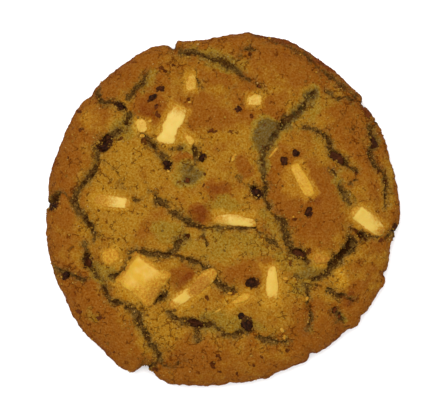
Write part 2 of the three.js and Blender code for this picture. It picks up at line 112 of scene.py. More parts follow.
# %% Lines of the fissures
FISSURES = {
    "left rift": [
        [-32, 30.8, 0.8], [-30.4, 26.8, 0.8], [-26.8, 26.5, 1.4], [-23.5, 24.2, 1.4],
        [-24.2, 21, 1.0], [-27.1, 18.5, 1.5], [-29.6, 16.2, 2.6], [-31.2, 13.8, 1.6],
        [-30.4, 11.2, 1.4], [-33.4, 8.0, 1.4], [-36.4, 3.6, 1.2], [-36.3, 0.7, 1.2],
        [-33.8, -2.6, 1.3], [-32, -5, 1.4], [-32.1, -8, 0.5],
    ],
    "left rift spur": [[-25, 26.4, 0.9], [-22.3, 29, 1.0], [-20.4, 31, 1.2], [-18.6, 33.8, 0.6]],
    "left rim": [[-44.2, 1.0, 2.2], [-42.4, 2.6, 1.6], [-40.2, 4.2, 0.9], [-37.4, 2.4, 0.8]],
    "top rift": [
        [-12.4, 41, 1.2], [-11.4, 39.6, 0.9], [-7.6, 39, 1.4], [-3.4, 37.6, 1.1],
        [-0.2, 36.8, 1.5], [2.4, 35, 1.5], [5.4, 32.9, 0.7], [9.2, 30.4, 0.4], [10.2, 28.8, 0.3],
    ],
    "top rim": [
        [8.2, 43.6, 0.4], [11, 42.4, 0.6], [15.4, 41, 0.5], [20.4, 38.4, 0.6], [24, 35.2, 0.6],
        [28.6, 31.6, 0.6], [34.6, 26.8, 0.8],
    ],
    "shelf crack": [[25.6, 29.2, 0.6], [28, 28, 0.8], [31.2, 27.6, 0.6], [34.9, 26.6, 1.2]],
    "right rift": [
        [22.8, 29.6, 0.8], [21.6, 28.4, 1.5], [20, 25.8, 1.5], [17, 22.9, 1.0], [15.4, 21.8, 1.9],
        [13.4, 19.6, 1.5], [11, 16.6, 1.3], [10, 13, 1.5], [9.7, 10, 0.7], [10.4, 6.4, 0.9],
        [10.4, 2.2, 0.9], [12.4, -1, 1.1], [14.9, -3.8, 1.2], [15.6, -7, 1.2], [17.4, -9.8, 1.8],
        [20, -11.4, 1.5], [20.6, -13.4, 0.6],
    ],
    "plate edge": [
        [16.6, 22.6, 0.6], [18.6, 20.4, 0.8], [22, 20.1, 0.8], [25.4, 17.9, 0.9],
        [26.9, 14.4, 1.4], [28.8, 12.6, 1.9], [31, 10.6, 1.0], [33.2, 9.9, 0.4],
    ],
    "plate foot": [[26.4, 10.6, 0.4], [28.6, 7.2, 0.7], [29.8, 4, 0.9], [31.6, 1.4, 0.5]],
    "right rim": [
        [38.6, 22.6, 0.8], [36.9, 20, 1.5], [38, 17.4, 1.6], [36.8, 13.8, 0.9], [38, 10.8, 0.8],
        [40.4, 8.4, 0.9], [40.8, 4.4, 0.8], [40.5, 0.8, 0.4],
    ],
    "centre rift": [
        [-17.7, 5.2, 0.5], [-16.6, 2.6, 1.3], [-12.6, -0.3, 1.3], [-9.2, -2.8, 1.2],
        [-5.8, -4.4, 1.2], [-1.6, -4.4, 0.5], [4.2, -4.6, 1.1], [8.4, -4.2, 0.7],
        [10.4, -6.6, 0.8], [13.8, -9.3, 0.8],
    ],
    "berry crack": [[3.2, 7.9, 0.4], [6.6, 6, 0.9], [8.6, 4.2, 1.6], [10.2, 2.6, 0.6]],
    "left hairline": [[-26.8, 9.6, 0.4], [-24.8, 6.4, 0.5], [-22.6, 3.2, 0.5], [-20.4, 2.1, 0.3]],
    "upper row": [[-20, 18.6, 0.5], [-17.4, 16.4, 0.9], [-15.4, 13.6, 1.0], [-13.6, 10.8, 1.3]],
    "upper spur": [[-7.4, 16.2, 0.5], [-6.8, 13.6, 1.1], [-6.6, 11.2, 0.7], [-8.6, 9.4, 0.4]],
    "lower left rift": [
        [-34.5, -8.2, 0.9], [-33.6, -12.6, 1.6], [-31.6, -15.6, 1.2], [-29.4, -19, 1.1],
        [-28, -22, 1.2], [-24.4, -23.8, 1.0], [-21.5, -25.4, 1.7], [-20.2, -29, 1.3],
        [-18.8, -32, 1.4], [-16.3, -35.6, 1.1], [-16.2, -38, 1.0], [-19.4, -39.6, 1.6],
    ],
    "lower left rim": [
        [-42, -14.6, 1.0], [-39.9, -16, 1.3], [-37.2, -16.3, 0.9], [-34.4, -17.4, 0.8],
    ],
    "under the chunk": [
        [-21.4, -24.8, 0.8], [-18.6, -24, 1.3], [-16.2, -22, 1.8], [-13.6, -19.8, 1.0],
        [-13.2, -16.8, 0.5],
    ],
    "beside the chunk": [
        [-28, -16.3, 0.5], [-25.8, -16.2, 0.9], [-23, -13.6, 0.7], [-23, -11, 0.7],
    ],
    "above the chunk": [
        [-23.2, -10.8, 0.6], [-20.4, -10.3, 1.1], [-16.4, -11.2, 1.4], [-12.2, -10.4, 1.2],
        [-11.2, -8, 1.1], [-8.7, -6.4, 0.9],
    ],
    "middle rift": [
        [-12, -10.8, 0.8], [-8, -12.4, 1.0], [-5.2, -13.6, 1.1], [-2.8, -15.8, 1.2],
        [0, -18.8, 1.1], [3, -20.4, 0.6],
    ],
    "lower rift": [
        [-13.7, -25.4, 0.9], [-10, -27.4, 1.2], [-6.2, -28.3, 2.0], [-2.2, -28.4, 0.9],
        [0.4, -31, 0.9], [4.4, -30.6, 1.0], [7.8, -30, 1.0], [10.6, -32.3, 1.3],
        [15.8, -32.7, 0.7],
    ],
    "lower spur": [[-6.2, -28.8, 1.0], [-6.2, -32.2, 0.8]],
    "right fissure": [
        [31.8, -6.8, 0.9], [31.7, -8.9, 2.4], [29, -11.2, 2.4], [26.7, -14, 1.7],
        [24.4, -16.5, 1.3], [21.2, -17.1, 0.8], [17.4, -16.4, 0.4],
    ],
    "edge crack": [
        [31.6, -4.4, 0.9], [34.2, -6.2, 1.4], [37.4, -6.7, 0.8], [40.8, -6.9, 0.9],
        [44.4, -5, 1.4],
    ],
    "lower right crack": [
        [20.4, -18.6, 0.9], [24.2, -19, 0.8], [28.2, -21, 1.0], [32.6, -22.6, 0.6],
    ],
    "lower right seam": [
        [20.6, -19, 0.7], [21.2, -23.6, 0.5], [21.7, -27.2, 0.9], [20.4, -30.4, 0.4],
    ],
    "lower right pit": [[27.6, -24.8, 0.6], [28.8, -26.8, 1.4], [30.4, -28.4, 0.6]],
    "middle hairline": [[-5, -6.2, 0.5], [-4.2, -8, 0.3], [-3.6, -10.4, 0.3]],
    "low rim hairline": [[-15.4, -38.6, 0.5], [-12.2, -38.8, 0.4], [-9.8, -37.4, 0.3]],
    "top rim hairline": [[5.2, 39.6, 0.5], [7, 39.9, 0.6], [8.2, 39.4, 0.3]],
    "shelf hairline": [[32.2, 22.4, 0.3], [32, 20.6, 0.4], [33.6, 19.8, 0.3]],
    "right hairline": [[33.4, 9.6, 0.4], [32.8, 7.6, 0.3], [31.4, 6.2, 0.3]],
    "beside the top piece": [[-6.6, 35, 0.3], [-6.2, 32.5, 0.4], [-5.9, 30, 0.3]],
    "below the top rift": [[2.6, 29.6, 0.4], [3.6, 28.2, 0.5], [4.4, 26.6, 0.4]],
    "above the top rift": [[3.4, 36.8, 0.5], [4.8, 37.6, 0.7], [6.5, 38.3, 0.4]],
    "round the dome": [[-12.4, 14.6, 0.4], [-11.1, 15.1, 0.5], [-9.4, 14.2, 0.6], [-8, 13.8, 0.4]],
}


def smooth_line(points, steps=4):
    """Points along a smooth line through the given ones, a cubic between each two."""
    given = np.array(points, dtype=float)
    held = np.vstack([2 * given[0] - given[1], given, 2 * given[-1] - given[-2]])
    t = np.arange(steps)[:, None] / steps
    spans = []
    for a, b, c, d in zip(held[:-3], held[1:-2], held[2:-1], held[3:]):
        spans.append(0.5 * (2 * b + (c - a) * t + (2 * a - 5 * b + 4 * c - d) * t ** 2
                            + (3 * b - a - 3 * c + d) * t ** 3))
    return np.vstack(spans + [given[-1:]])


LINES = [smooth_line(points) for points in FISSURES.values()]
print(len(LINES), "fissures in", sum(len(line) - 1 for line in LINES), "short steps")

# %% [markdown]
# ## How far to the nearest fissure?
# Relief, crumbs and colour all ask this of each point. The lines could be carved one by one, but
# a distance lets every detail choose its own reach, and only points near a line are worked out.

# %% Distance to the nearest fissure
FAR = 12.0


def fissure_field(x, y):
    """For each point: the distance to the nearest lip (negative inside) and the width there."""
    lip = np.full(x.shape, FAR)
    gape = np.zeros(x.shape)
    for line in LINES:
        low, high = line[:, :2].min(0) - FAR, line[:, :2].max(0) + FAR
        near = np.flatnonzero((x > low[0]) & (x < high[0]) & (y > low[1]) & (y < high[1]))
        px, py = x[near], y[near]
        best, width_here = np.full(px.shape, FAR), np.zeros(px.shape)
        for start, end in zip(line[:-1], line[1:]):
            along = end[:2] - start[:2]
            t = ((px - start[0]) * along[0] + (py - start[1]) * along[1]) / (along @ along)
            t = np.clip(t, 0, 1)
            width = start[2] + t * (end[2] - start[2])
            away = np.hypot(px - start[0] - t * along[0], py - start[1] - t * along[1])
            signed = away - width / 2
            closer = signed < best
            best = np.where(closer, signed, best)
            width_here = np.where(closer, width, width_here)
        closer = best < lip[near]
        gape[near] = np.where(closer, width_here, gape[near])
        lip[near] = np.where(closer, best, lip[near])
    return lip, gape


middle_lip, _ = fissure_field(np.zeros(1), np.zeros(1))
print("the middle lies %.1f mm from a lip" % middle_lip[0])

# %% [markdown]
# ## Noise
# Baked surfaces are shaped by chance, so most detail is noise at a known size in mm: smooth noise
# for swells, layered noise for crumb, and cells for bubbles that burst at the surface. A shift
# moves along the noise, so that no two uses repeat each other.

# %% Noise helpers
OCTAVE_STEP = (1.0, 2.0)   # each octave is half as high and twice as fine
LOT_SPREAD = 7.3           # sets neighbouring bubbles apart when they draw lots


def noise_at(points, size, shift=0.0):
    """Smooth noise from -1 to 1 at each point, its bumps about size across."""
    k = 1 / size
    return np.array([noise.noise((x * k + shift, y * k - shift, z * k)) for x, y, z in points])


def noises_at(points, layers, shifts):
    """Smooth noises of several sizes added up. Each layer is (height, size) in mm."""
    return sum(height * noise_at(points, size, shift)
               for (height, size), shift in zip(layers, shifts))


def crumb_at(points, size, shift=0.0, octaves=3):
    """Rougher noise: each octave is half the size and half the height of the one before."""
    k = 1 / size
    return np.array([noise.fractal((x * k + shift, y * k - shift, z * k), *OCTAVE_STEP, octaves)
                     for x, y, z in points])


def burst_bubbles(points, spacing, share_burst, radius):
    """1 at the middle of a burst bubble, 0 away from it. Only a share of the cells has one."""
    depth = np.zeros(len(points))
    for i, (x, y, z) in enumerate(points):
        distances, centres = noise.voronoi((x / spacing, y / spacing, z / spacing))
        if noise.cell(centres[0] * LOT_SPREAD) < 2 * share_burst - 1:
            depth[i] = max(0, 1 - (distances[0] * spacing / radius) ** 2)
    return depth


def smoothstep(low, high, value):
    """0 at low and 1 at high, with an easy start and end."""
    t = np.clip((value - low) / (high - low), 0, 1)
    return t * t * (3 - 2 * t)


# %% [markdown]
# ## Uneven fissures
# A baked fissure is never even: it gapes, pinches shut where a crumb bridges it, and gapes again.
# So its width is multiplied by slow noise and shifted by finer noise before anything is cut.

# %% Uneven width
def uneven(points, lip, gape):
    """The same two fields, with the width of each fissure made to come and go."""
    swelling = 0.9 + 0.8 * noise_at(points, size=2.1, shift=51.0)
    nibbled = 0.5 * crumb_at(points, size=0.85, shift=63.0)
    bridged = 0.9 * smoothstep(0.22, 0.5, noise_at(points, size=2.9, shift=71.0))
    width = np.maximum(gape * swelling + nibbled - bridged, 0)
    return lip + (gape - width) / 2, width


# %% [markdown]
# ## Plates and the bun
# The plates are soft mounds laid over the bun. A mound whose fall-off is flat in the middle and
# quick at its edge, exp(-r^4), looks like skin pushed up from below, where a plain bell curve
# looks like a drop of water.

# %% Plates
# [x, y, half length, half width, turn in degrees, rise]
PLATES = [
    [20.5, 5, 14.5, 8.8, -62, 1.0], [-9, -16.9, 3.6, 3.2, 0, 0.9], [6.2, -14.6, 6, 4.4, 0, 0.7],
    [34.5, -13.5, 6.5, 5, 60, 0.7], [-38.5, 12, 9, 4, 68, 0.5], [-29, -29.5, 11, 6, -46, 0.6],
    [-24, 32.5, 9, 3.6, 38, 0.5], [15, 34.5, 12, 6, -25, 0.6], [28, 23.5, 7, 3.6, -30, 0.5],
    [-39.5, -6, 4, 8, 6, 0.5], [-30.5, 21.5, 5.4, 3.6, 20, 0.6], [-6.5, 0.4, 3, 2.4, 40, 0.8],
    [-1.6, 5.2, 4, 3.2, 30, 0.5], [-26.8, -12.8, 3.6, 3, -30, 0.9], [-12.6, 25.6, 4.2, 3, 60, 0.5],
    [24, -31.5, 7, 4, 38, 0.5], [-8, -34.5, 8, 4.6, -10, 0.5], [11, -26.5, 5.4, 4.4, 0, 0.5],
    [-21, 13, 8, 6, -30, 0.4], [0, 26, 8, 6, 20, 0.4], [36.8, 5.6, 6, 3, 84, 0.4],
]
print(len(PLATES), "plates")


def along_and_across(x, y, row, turn):
    """Distances from the middle of a row, along and across its own turned axes."""
    c, s = math.cos(math.radians(turn)), math.sin(math.radians(turn))
    return (x - row[0]) * c + (y - row[1]) * s, (y - row[1]) * c - (x - row[0]) * s


def mound(x, y, row):
    """1 in the middle of a mound, falling to 0 past its edge."""
    _, _, half_length, half_width, turn, _ = row
    along, across = along_and_across(x, y, row, turn)
    return np.exp(-(((along / half_length) ** 2 + (across / half_width) ** 2) ** 2))


def bun_height(share):
    """Height of the bare bun, at a share of the way from its middle to its rim."""
    inside = np.maximum(0, 1 - share ** TOP_FLATNESS)
    return WIDEST_LEVEL + (CROWN - WIDEST_LEVEL) * inside ** (1 / SHOULDER_ROUND)


def crust_height(x, y):
    """Height of the crust over each point, plates and sagged shoulders in, fissures shut."""
    share = np.minimum(1, np.hypot(x, y) / rim_radius(np.arctan2(y, x)))
    rise = sum(row[5] * mound(x, y, row) for row in PLATES)
    lip, gape = fissure_field(x, y)
    sag = SLUMP * np.exp(-((np.maximum(lip + gape / 2, 0) / SLUMP_REACH) ** 2))
    return bun_height(share) + (rise - sag) * (1 - share ** 8)


# %% [markdown]
# ## What is set into the dough
# The pieces are listed before the crust is sculpted, because the crust takes notice of them: it
# lies smooth and tight where it creeps up a piece of chocolate, and sinks a little round a berry,
# which dried and shrank in the heat. Turns are in degrees, and proud is how far a piece stands
# out of the crust.

# %% Chocolate pieces
# [x, y, length, width, thickness, turn, proud], [corner, taper, belly, pinch, cream], then the
# veils as [along, across, reach, amount]. A high corner is square; taper narrows the far end;
# belly leaves one long side straight and rounds the other; pinch hollows all sides; cream is
# how pale the piece stayed. A veil is a place where dough covers the piece.
CHOCOLATE = [
    ([-12.6, 20.7, 10.2, 4.7, 4.4, 66, 0.6], [2.7, 0, 0, 0, 0.9],
     [[0.7, 2.2, 0.62, 1.1], [1.1, 0, 0.45, 0.8]]),
    ([-7.9, 31.5, 4.4, 2.7, 2.2, 92, 0.3], [2.3, 0.15, 0, 0, 0.5],
     [[0, 0, 1.6, 0.45], [1, 0, 0.6, 0.7]]),
    ([7.8, 27.0, 3.3, 2.9, 3.0, -4, 0.3], [3.2, 0, 0, 0, 0.55], [[0, 0, 1.6, 0.3]]),
    ([-20.1, 20.7, 3.3, 3.2, 1.8, 0, 0.35], [2.0, 0, 0, 0, 0.5], [[0, 0, 1.6, 0.25]]),
    ([-8.6, 17.5, 3.8, 2.2, 2.0, -50, 0.25], [2.8, -0.3, 0, 0, 0.35], [[0, 0, 1.6, 0.35]]),
    ([19.5, 7.2, 8.6, 3.5, 3.4, -62, 0.45], [3.2, -0.3, 0, 0, 0.05], [[0, 0, 2.2, 0.35]]),
    ([-27.3, 2.0, 7.2, 2.9, 3.0, -9, 0.3], [2.8, 0, 0, 0, 0.8],
     [[-1.0, 0, 1.1, 0.9], [0, 0, 2, 0.12]]),
    ([2.7, -2.5, 9.6, 3.0, 3.2, -6, 0.4], [3.0, 0.1, 0.4, 0, 0.8],
     [[-1, 0, 0.8, 0.6], [0.2, 1.7, 0.6, 0.9], [1.0, 0.3, 0.3, 0.5]]),
    ([36.1, -3.0, 8.6, 4.4, 2.8, -37, 0.4], [2.5, 0.2, 0, 0, 0.8],
     [[1.0, 0, 0.4, 1.0], [0.3, 1.8, 0.6, 1.1]]),
    ([-20.0, -17.2, 9.3, 9.3, 5.0, -36, 0.7], [7.0, -0.1, 0, 0.04, 0.15],
     [[1.0, -0.3, 0.65, 0.9], [0.2, -1.0, 0.4, 0.7], [-0.9, -0.9, 0.3, 0.6]]),
    ([-7.3, -19.9, 11.2, 3.4, 3.2, 41, 0.35], [2.6, 0.1, 0, 0, 0.6],
     [[0.38, 0, 0.42, 4.0], [-1.0, 0, 0.2, 0.7]]),
    ([12.0, -18.6, 9.6, 3.6, 3.4, 93, 0.5], [3.4, 0.2, 0, 0, 0.5],
     [[-0.9, 1.4, 0.5, 0.9], [-1, 0, 0.2, 0.6]]),
    ([-27.7, -11.4, 3.7, 3.3, 2.4, 20, 0.3], [2.2, 0, 0, 0, 0.0], [[0, 0, 2, 0.62]]),
]

# two thin flakes: the same seven, then taper and how much dough covers them
FLAKES = [([4.3, -22.0, 6.2, 2.6, 1.2, 25, 0.45], -0.7, 0.4),
          ([24.3, -12.2, 3.7, 2.8, 1.2, -14, 0.45], 0.3, 0.9)]

# slivers and crumbs of chocolate, all made as one piece
SLIVERS = [
    [12.4, 14.0, 3.4, 0.6, 0.6, 50, 0.25], [2.5, 12.5, 1.5, 0.8, 0.7, 70, 0.3],
    [3.0, 13.4, 0.9, 0.6, 0.5, 20, 0.25], [-1.2, -24.9, 1.8, 0.5, 0.5, 30, 0.25],
    [15.4, -17.0, 1.3, 0.8, 0.6, -10, 0.3], [14.6, -29.8, 1.5, 0.8, 0.6, -60, 0.3],
    [15.2, -31.6, 1.2, 0.7, 0.5, 80, 0.25], [20.6, -22.0, 1.2, 1.0, 0.7, 60, 0.3],
    [-18.0, 21.8, 1.0, 0.8, 0.6, 40, 0.25], [-19.9, 18.2, 1.3, 0.9, 0.6, 0, 0.2],
    [1.7, -20.6, 1.2, 0.6, 0.5, 0, 0.3], [-25.0, -12.5, 1.2, 0.7, 0.5, 40, 0.25],
    [-8.2, 26.4, 0.7, 0.5, 0.5, 0, 0.25], [-13.4, 9.4, 0.9, 0.6, 0.5, 0, 0.2],
    [17.2, -1.8, 0.6, 0.6, 0.5, 0, 0.25], [38.3, -10.6, 0.8, 0.6, 0.5, 0, 0.2],
]
print(len(CHOCOLATE), "chocolate pieces,", len(FLAKES), "flakes,", len(SLIVERS), "slivers")

# %% [markdown]
# The berries have the same seven numbers. The large ones each replace a solid. The small bits,
# too fine for solids, are all made as one piece.

# %% Cranberry pieces
# [x, y, length, width, thickness, turn, proud]
CRANBERRIES = [
    [-29.2, 16.3, 5.2, 3.3, 2.8, 36, -0.9], [-42.4, 1.0, 2.8, 2.6, 2.4, 88, 0.3],
    [-25.8, 25.8, 3.8, 1.8, 2.0, -32, -0.4], [8.4, 4.1, 3.7, 2.9, 2.6, -20, 0.0],
    [21.2, -0.9, 2.6, 2.4, 2.2, 60, 0.25], [28.3, 12.9, 4.3, 2.2, 2.2, -36, -0.3],
    [37.8, 16.9, 3.4, 1.9, 2.0, 100, -0.2], [36.0, 24.3, 3.2, 1.6, 1.8, -64, 0.3],
    [7.3, -18.0, 3.6, 2.6, 2.4, -12, 0.3], [5.7, -27.9, 4.9, 3.0, 2.8, -60, 0.0],
    [18.8, -11.0, 4.0, 2.3, 2.2, -28, -0.3], [-6.6, -28.2, 4.4, 2.3, 2.2, -6, -0.5],
    [-33.6, -12.9, 3.0, 2.3, 2.2, 70, -0.5], [-13.8, 10.9, 2.4, 2.2, 2.0, 0, 0.0],
]
CRANBERRY_BITS = [
    [-17.4, 27.6, 2.5, 1.5, 1.4, 38, 0.35], [-5.2, 12.8, 2.3, 1.7, 1.5, 75, 0.35],
    [15.0, 12.0, 2.1, 1.7, 1.5, 80, 0.35], [17.8, 13.8, 2.3, 1.8, 1.5, 28, 0.35],
    [3.8, 24.8, 2.1, 1.5, 1.4, -12, 0.3], [-15.4, 29.9, 2.0, 1.7, 1.4, 30, 0.3],
    [-39.6, -16.6, 2.6, 1.9, 1.8, 60, 0.1], [-16.4, 25.2, 1.3, 1.0, 1.0, 20, 0.2],
    [-16.0, 23.3, 1.5, 1.1, 1.0, -30, 0.2], [-30.8, -26.9, 1.6, 1.2, 1.2, 0, 0.1],
    [-8.7, 7.1, 1.4, 1.3, 1.2, 0, 0.2], [27.8, -25.0, 1.4, 1.0, 1.0, 60, 0.0],
    [28.9, -26.8, 1.2, 0.8, 0.9, 80, -0.1], [-35.9, -25.5, 1.4, 1.1, 1.2, 0, 0.2],
    [39.4, -7.6, 1.5, 0.9, 1.0, 60, 0.1], [-3.0, 19.4, 1.3, 0.8, 0.9, 30, 0.2],
    [9.0, 30.6, 1.2, 0.9, 0.9, 80, 0.1], [43.1, -4.6, 2.2, 1.4, 1.6, 80, 0.3],
]
print(len(CRANBERRIES), "cranberries and", len(CRANBERRY_BITS), "bits")

# %% [markdown]
# ## Where the pieces lie
# The crust has to know how close each of its points is to a piece. Blocks get the distance to a
# rectangle, and berries that to an oval.

# %% Distance to the pieces
def outside_block(x, y, row):
    """Distance in mm from the outline of a block seen from above, negative over it."""
    _, _, length, width, _, turn, _ = row
    along, across = along_and_across(x, y, row, turn)
    u, v = np.abs(along) - length / 2, np.abs(across) - width / 2
    return np.hypot(np.maximum(u, 0), np.maximum(v, 0)) + np.minimum(np.maximum(u, v), 0)


def outside_oval(x, y, row):
    """The same for an oval piece, near enough for the short way round it."""
    _, _, length, width, _, turn, _ = row
    along, across = along_and_across(x, y, row, turn)
    return (np.hypot(along / (length / 2), across / (width / 2)) - 1) * width / 2


def beside(x, y, rows, margin):
    """1 over any of the blocks, falling to 0 at that many mm outside them."""
    nearest = np.minimum.reduce([outside_block(x, y, row) for row in rows])
    return smoothstep(margin, 0.0, nearest)


# %% [markdown]
# ## The bare puck of dough
# A round top could be spun, but a spun mesh has needles at its middle and coarse faces at its
# rim, just where the crust needs even detail. So a square grid is sent to a disc, which keeps its
# faces almost the same size everywhere. The open edge of the grid is then extruded ring by ring
# down the wall and in under the base.

# %% Grid, wall and base
CELLS = 272        # across the grid of the top
WALL_RINGS = 16
TOP_REACH = 0.97   # share of the rim's radius at which the top ends and the wall starts
BASE_RINGS = [0.985, 0.93, 0.8, 0.55, 0.28]


def square_to_disc(a, b):
    """Share of the way to the rim, and direction, for a point of a square."""
    share = max(abs(a), abs(b))
    if share == 0:
        return 0.0, 0.0
    if abs(a) > abs(b):
        return share, (0 if a > 0 else math.pi) + math.pi / 4 * b / a
    return share, (math.pi / 2 if b > 0 else 3 * math.pi / 2) - math.pi / 4 * a / b


def wall_point(angle, level):
    """A point of the wall. level is 1 at the top's edge, 0.5 where the rim is widest, 0 below."""
    full = rim_radius(angle)
    if level > 0.5:
        z = WIDEST_LEVEL + (bun_height(TOP_REACH) - WIDEST_LEVEL) * (2 * level - 1)
        rise = (z - WIDEST_LEVEL) / (CROWN - WIDEST_LEVEL)
        return full * (1 - rise ** SHOULDER_ROUND) ** (1 / TOP_FLATNESS), z
    tuck = BASE_TUCK * (1 - math.sqrt(1 - (1 - 2 * level) ** 2))
    return full - tuck, WIDEST_LEVEL * 2 * level


def grow_ring(bm, edges):
    """Extrudes the open rim once. Returns its new edges and its new points."""
    grown = bmesh.ops.extrude_edge_only(bm, edges=edges)["geom"]
    return ([part for part in grown if isinstance(part, bmesh.types.BMEdge)],
            [part for part in grown if isinstance(part, bmesh.types.BMVert)])


dough_bm = bmesh.new()
bmesh.ops.create_grid(dough_bm, x_segments=CELLS, y_segments=CELLS, size=1.0)
mapped = np.array([square_to_disc(v.co.x, v.co.y) for v in dough_bm.verts])
radii = mapped[:, 0] * TOP_REACH * rim_radius(mapped[:, 1])
top_x, top_y = radii * np.cos(mapped[:, 1]), radii * np.sin(mapped[:, 1])
for vert, *place in zip(dough_bm.verts, top_x, top_y, crust_height(top_x, top_y)):
    vert.co = place

open_edges = [edge for edge in dough_bm.edges if edge.is_boundary]
for step in range(1, WALL_RINGS + 1):
    open_edges, ring = grow_ring(dough_bm, open_edges)
    angles = np.array([math.atan2(vert.co.y, vert.co.x) for vert in ring])
    radius, z = wall_point(angles, 1 - step / WALL_RINGS)
    for vert, angle, r in zip(ring, angles, radius):
        vert.co = (r * math.cos(angle), r * math.sin(angle), z)

for inward in BASE_RINGS:
    open_edges, ring = grow_ring(dough_bm, open_edges)
    for vert in ring:
        full = float(rim_radius(math.atan2(vert.co.y, vert.co.x))) - BASE_TUCK
        vert.co *= inward * full / math.hypot(vert.co.x, vert.co.y)
middle = bmesh.ops.contextual_create(dough_bm, geom=open_edges)["faces"]
bmesh.ops.poke(dough_bm, faces=middle)
bmesh.ops.recalc_face_normals(dough_bm, faces=dough_bm.faces)
dough_bm.normal_update()
print("puck:", len(dough_bm.verts), "points,", len(dough_bm.faces), "faces, open edges:",
      sum(edge.is_boundary for edge in dough_bm.edges))

# %% [markdown]
# ## What the crust knows of itself
# Before it is sculpted, each point learns where it lies: how far from a lip, a chocolate piece or
# a berry. The places asked for are first led astray by noise, or every edge would be as smooth as
# the lines drawn above. The hairline at the bottom of a fissure strays on its own.

# %% Fields over the puck
# (height, size) of the noises that lead places astray, in mm
WANDER = [(0.55, 2.0), (0.34, 0.95), (0.16, 0.5)]   # for lips, pieces and stains
STRAY = [(0.75, 2.6), (0.4, 0.8)]                   # for the split at the bottom of a fissure
TIGHT_SKIN = 0.7   # how far the smooth crust reaches round a piece of chocolate
TORN_REACH = 1.4   # how far torn dough reaches from a lip
points = np.array([vert.co[:] for vert in dough_bm.verts])
level = points[:, 2]
wander_x = points[:, 0] + noises_at(points, WANDER, (3.1, 11.7, 15.2))
wander_y = points[:, 1] + noises_at(points, WANDER, (27.5, 41.3, 47.7))
lip_mm, gape_mm = uneven(points, *fissure_field(wander_x, wander_y))
split_lip, split_gape = fissure_field(points[:, 0] + noises_at(points, STRAY, (81.0, 85.0)),
                                      points[:, 1] + noises_at(points, STRAY, (87.0, 89.0)))
split_half_width = 0.06 + 0.16 * split_gape
split_mm = split_lip + split_gape / 2 - split_half_width

blocks = [row for row, *_ in CHOCOLATE + FLAKES]
on_chocolate = beside(points[:, 0], points[:, 1], blocks, TIGHT_SKIN)
berry_mm = np.minimum.reduce([outside_oval(wander_x, wander_y, row)
                              for row in CRANBERRIES + CRANBERRY_BITS])
torn = np.exp(-np.maximum(lip_mm, 0) / TORN_REACH) * smoothstep(0.25, 1.2, gape_mm)
print("%.0f%% of the points lie in a fissure" % (100 * np.mean(lip_mm < 0)))

# %% [markdown]
# ## Sculpting the crust
# The relief is pushed along the puck's own normals, as a sculpting brush would, so it works on
# the wall as well as on the top. Several sizes of noise are laid over each other: slow swells,
# lumps, the crumb, and rare pits where an air bubble broke. Near a fissure the lumps grow,
# because torn dough is rougher than baked skin, and the wall is flattened, as it set first.

# %% Push the relief in
# heights in mm, out along the normal
swell = 0.26 * noise_at(points, size=8.0, shift=5.0)
lumps = 0.26 * crumb_at(points, size=2.3, shift=9.0)
crumb = 0.12 * crumb_at(points, size=0.95, shift=17.0, octaves=2)
torn_lumps = 0.40 * torn * crumb_at(points, size=1.0, shift=23.0)
bubbles = 0.42 * burst_bubbles(points, spacing=2.7, share_burst=0.22, radius=0.45)
nibbled_rim = 0.45 * crumb_at(points, size=1.7, shift=29.0) * smoothstep(9.0, 5.0, level)
relief = swell + lumps + crumb + torn_lumps + nibbled_rim - bubbles - 0.18 * torn
relief = relief * (1 - 0.9 * on_chocolate) - 0.22 * smoothstep(0.6, 0.0, berry_mm)

full_depth = np.minimum(DEEPEST_FISSURE, HAIRLINE_DEPTH + FISSURE_DEPTH * gape_mm)
inside = np.clip(-lip_mm / (gape_mm / 2 + 0.05), 0, 1)
rubble = crumb_at(points, size=0.8, shift=83.0)
open_depth = full_depth * np.clip(1.6 * inside, 0, 1) ** 0.8 * (0.8 - 0.8 * rubble)
relief -= 0.6 * open_depth * smoothstep(0.8, 4.5, level)

above_base = smoothstep(0.15, 1.6, level)
flat_wall = 1 - 0.45 * smoothstep(7.5, 4.0, level)
push = relief * above_base * flat_wall
normals = np.array([vert.normal[:] for vert in dough_bm.verts])
for vert, normal, amount in zip(dough_bm.verts, normals, push):
    vert.co += Vector(normal * amount)
print("relief from %.2f to %.2f mm" % (push.min(), push.max()))

# %% [markdown]
# ## Finished meshes
# Each sculpted form is turned into an object here: millimetres become metres, and the object
# rides on the frame's one body. Numbers that its material will read are kept at its points,
# because they follow the surface wherever it goes.

# %% Helpers that finish a piece
def object_from(bm, name, material):
    """An object in the scene, made from a bmesh in metres."""
    mesh = bpy.data.meshes.new(name)
    bm.to_mesh(mesh)
    bm.free()
    mesh.materials.append(material)
    made = bpy.data.objects.new(name, mesh)
    bpy.context.scene.collection.objects.link(made)
    return made


def finish_piece(bm, name, slot, material, replaced=(), **numbers):
    """A piece of the cookie made from a bmesh in mm, riding on the cookie's body."""
    bmesh.ops.scale(bm, vec=(MM, MM, MM), verts=bm.verts)
    piece = object_from(bm, name, material)
    mesh = piece.data
    mesh.polygons.foreach_set("use_smooth", [True] * len(mesh.polygons))
    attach(piece, "root")
    if replaced:
        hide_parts(*replaced)
    for number, values in numbers.items():
        spread = np.broadcast_to(values, len(mesh.vertices)).astype(np.float32)
        mesh.attributes.new(number, "FLOAT", "POINT").data.foreach_set("value", spread)
    print("%s: %d triangles" % (name, sum(len(f.vertices) - 2 for f in mesh.polygons)))


def add_to(whole, part):
    """Moves a small bmesh into a larger one."""
    carrier = bpy.data.meshes.new("carrier")
    part.to_mesh(carrier)
    whole.from_mesh(carrier)
    bpy.data.meshes.remove(carrier)
    part.clear()


# %% [markdown]
# ## Colours as they are seen
# A colour picked from a real cookie is what the light makes of its pigment. Shaders want
# the pigment in linear light, so the display's curve is taken off. The studio light is brighter
# than paper white, so that much is divided out again.

# %% From seen colour to pigment
LIGHT_LEVEL = 1.62


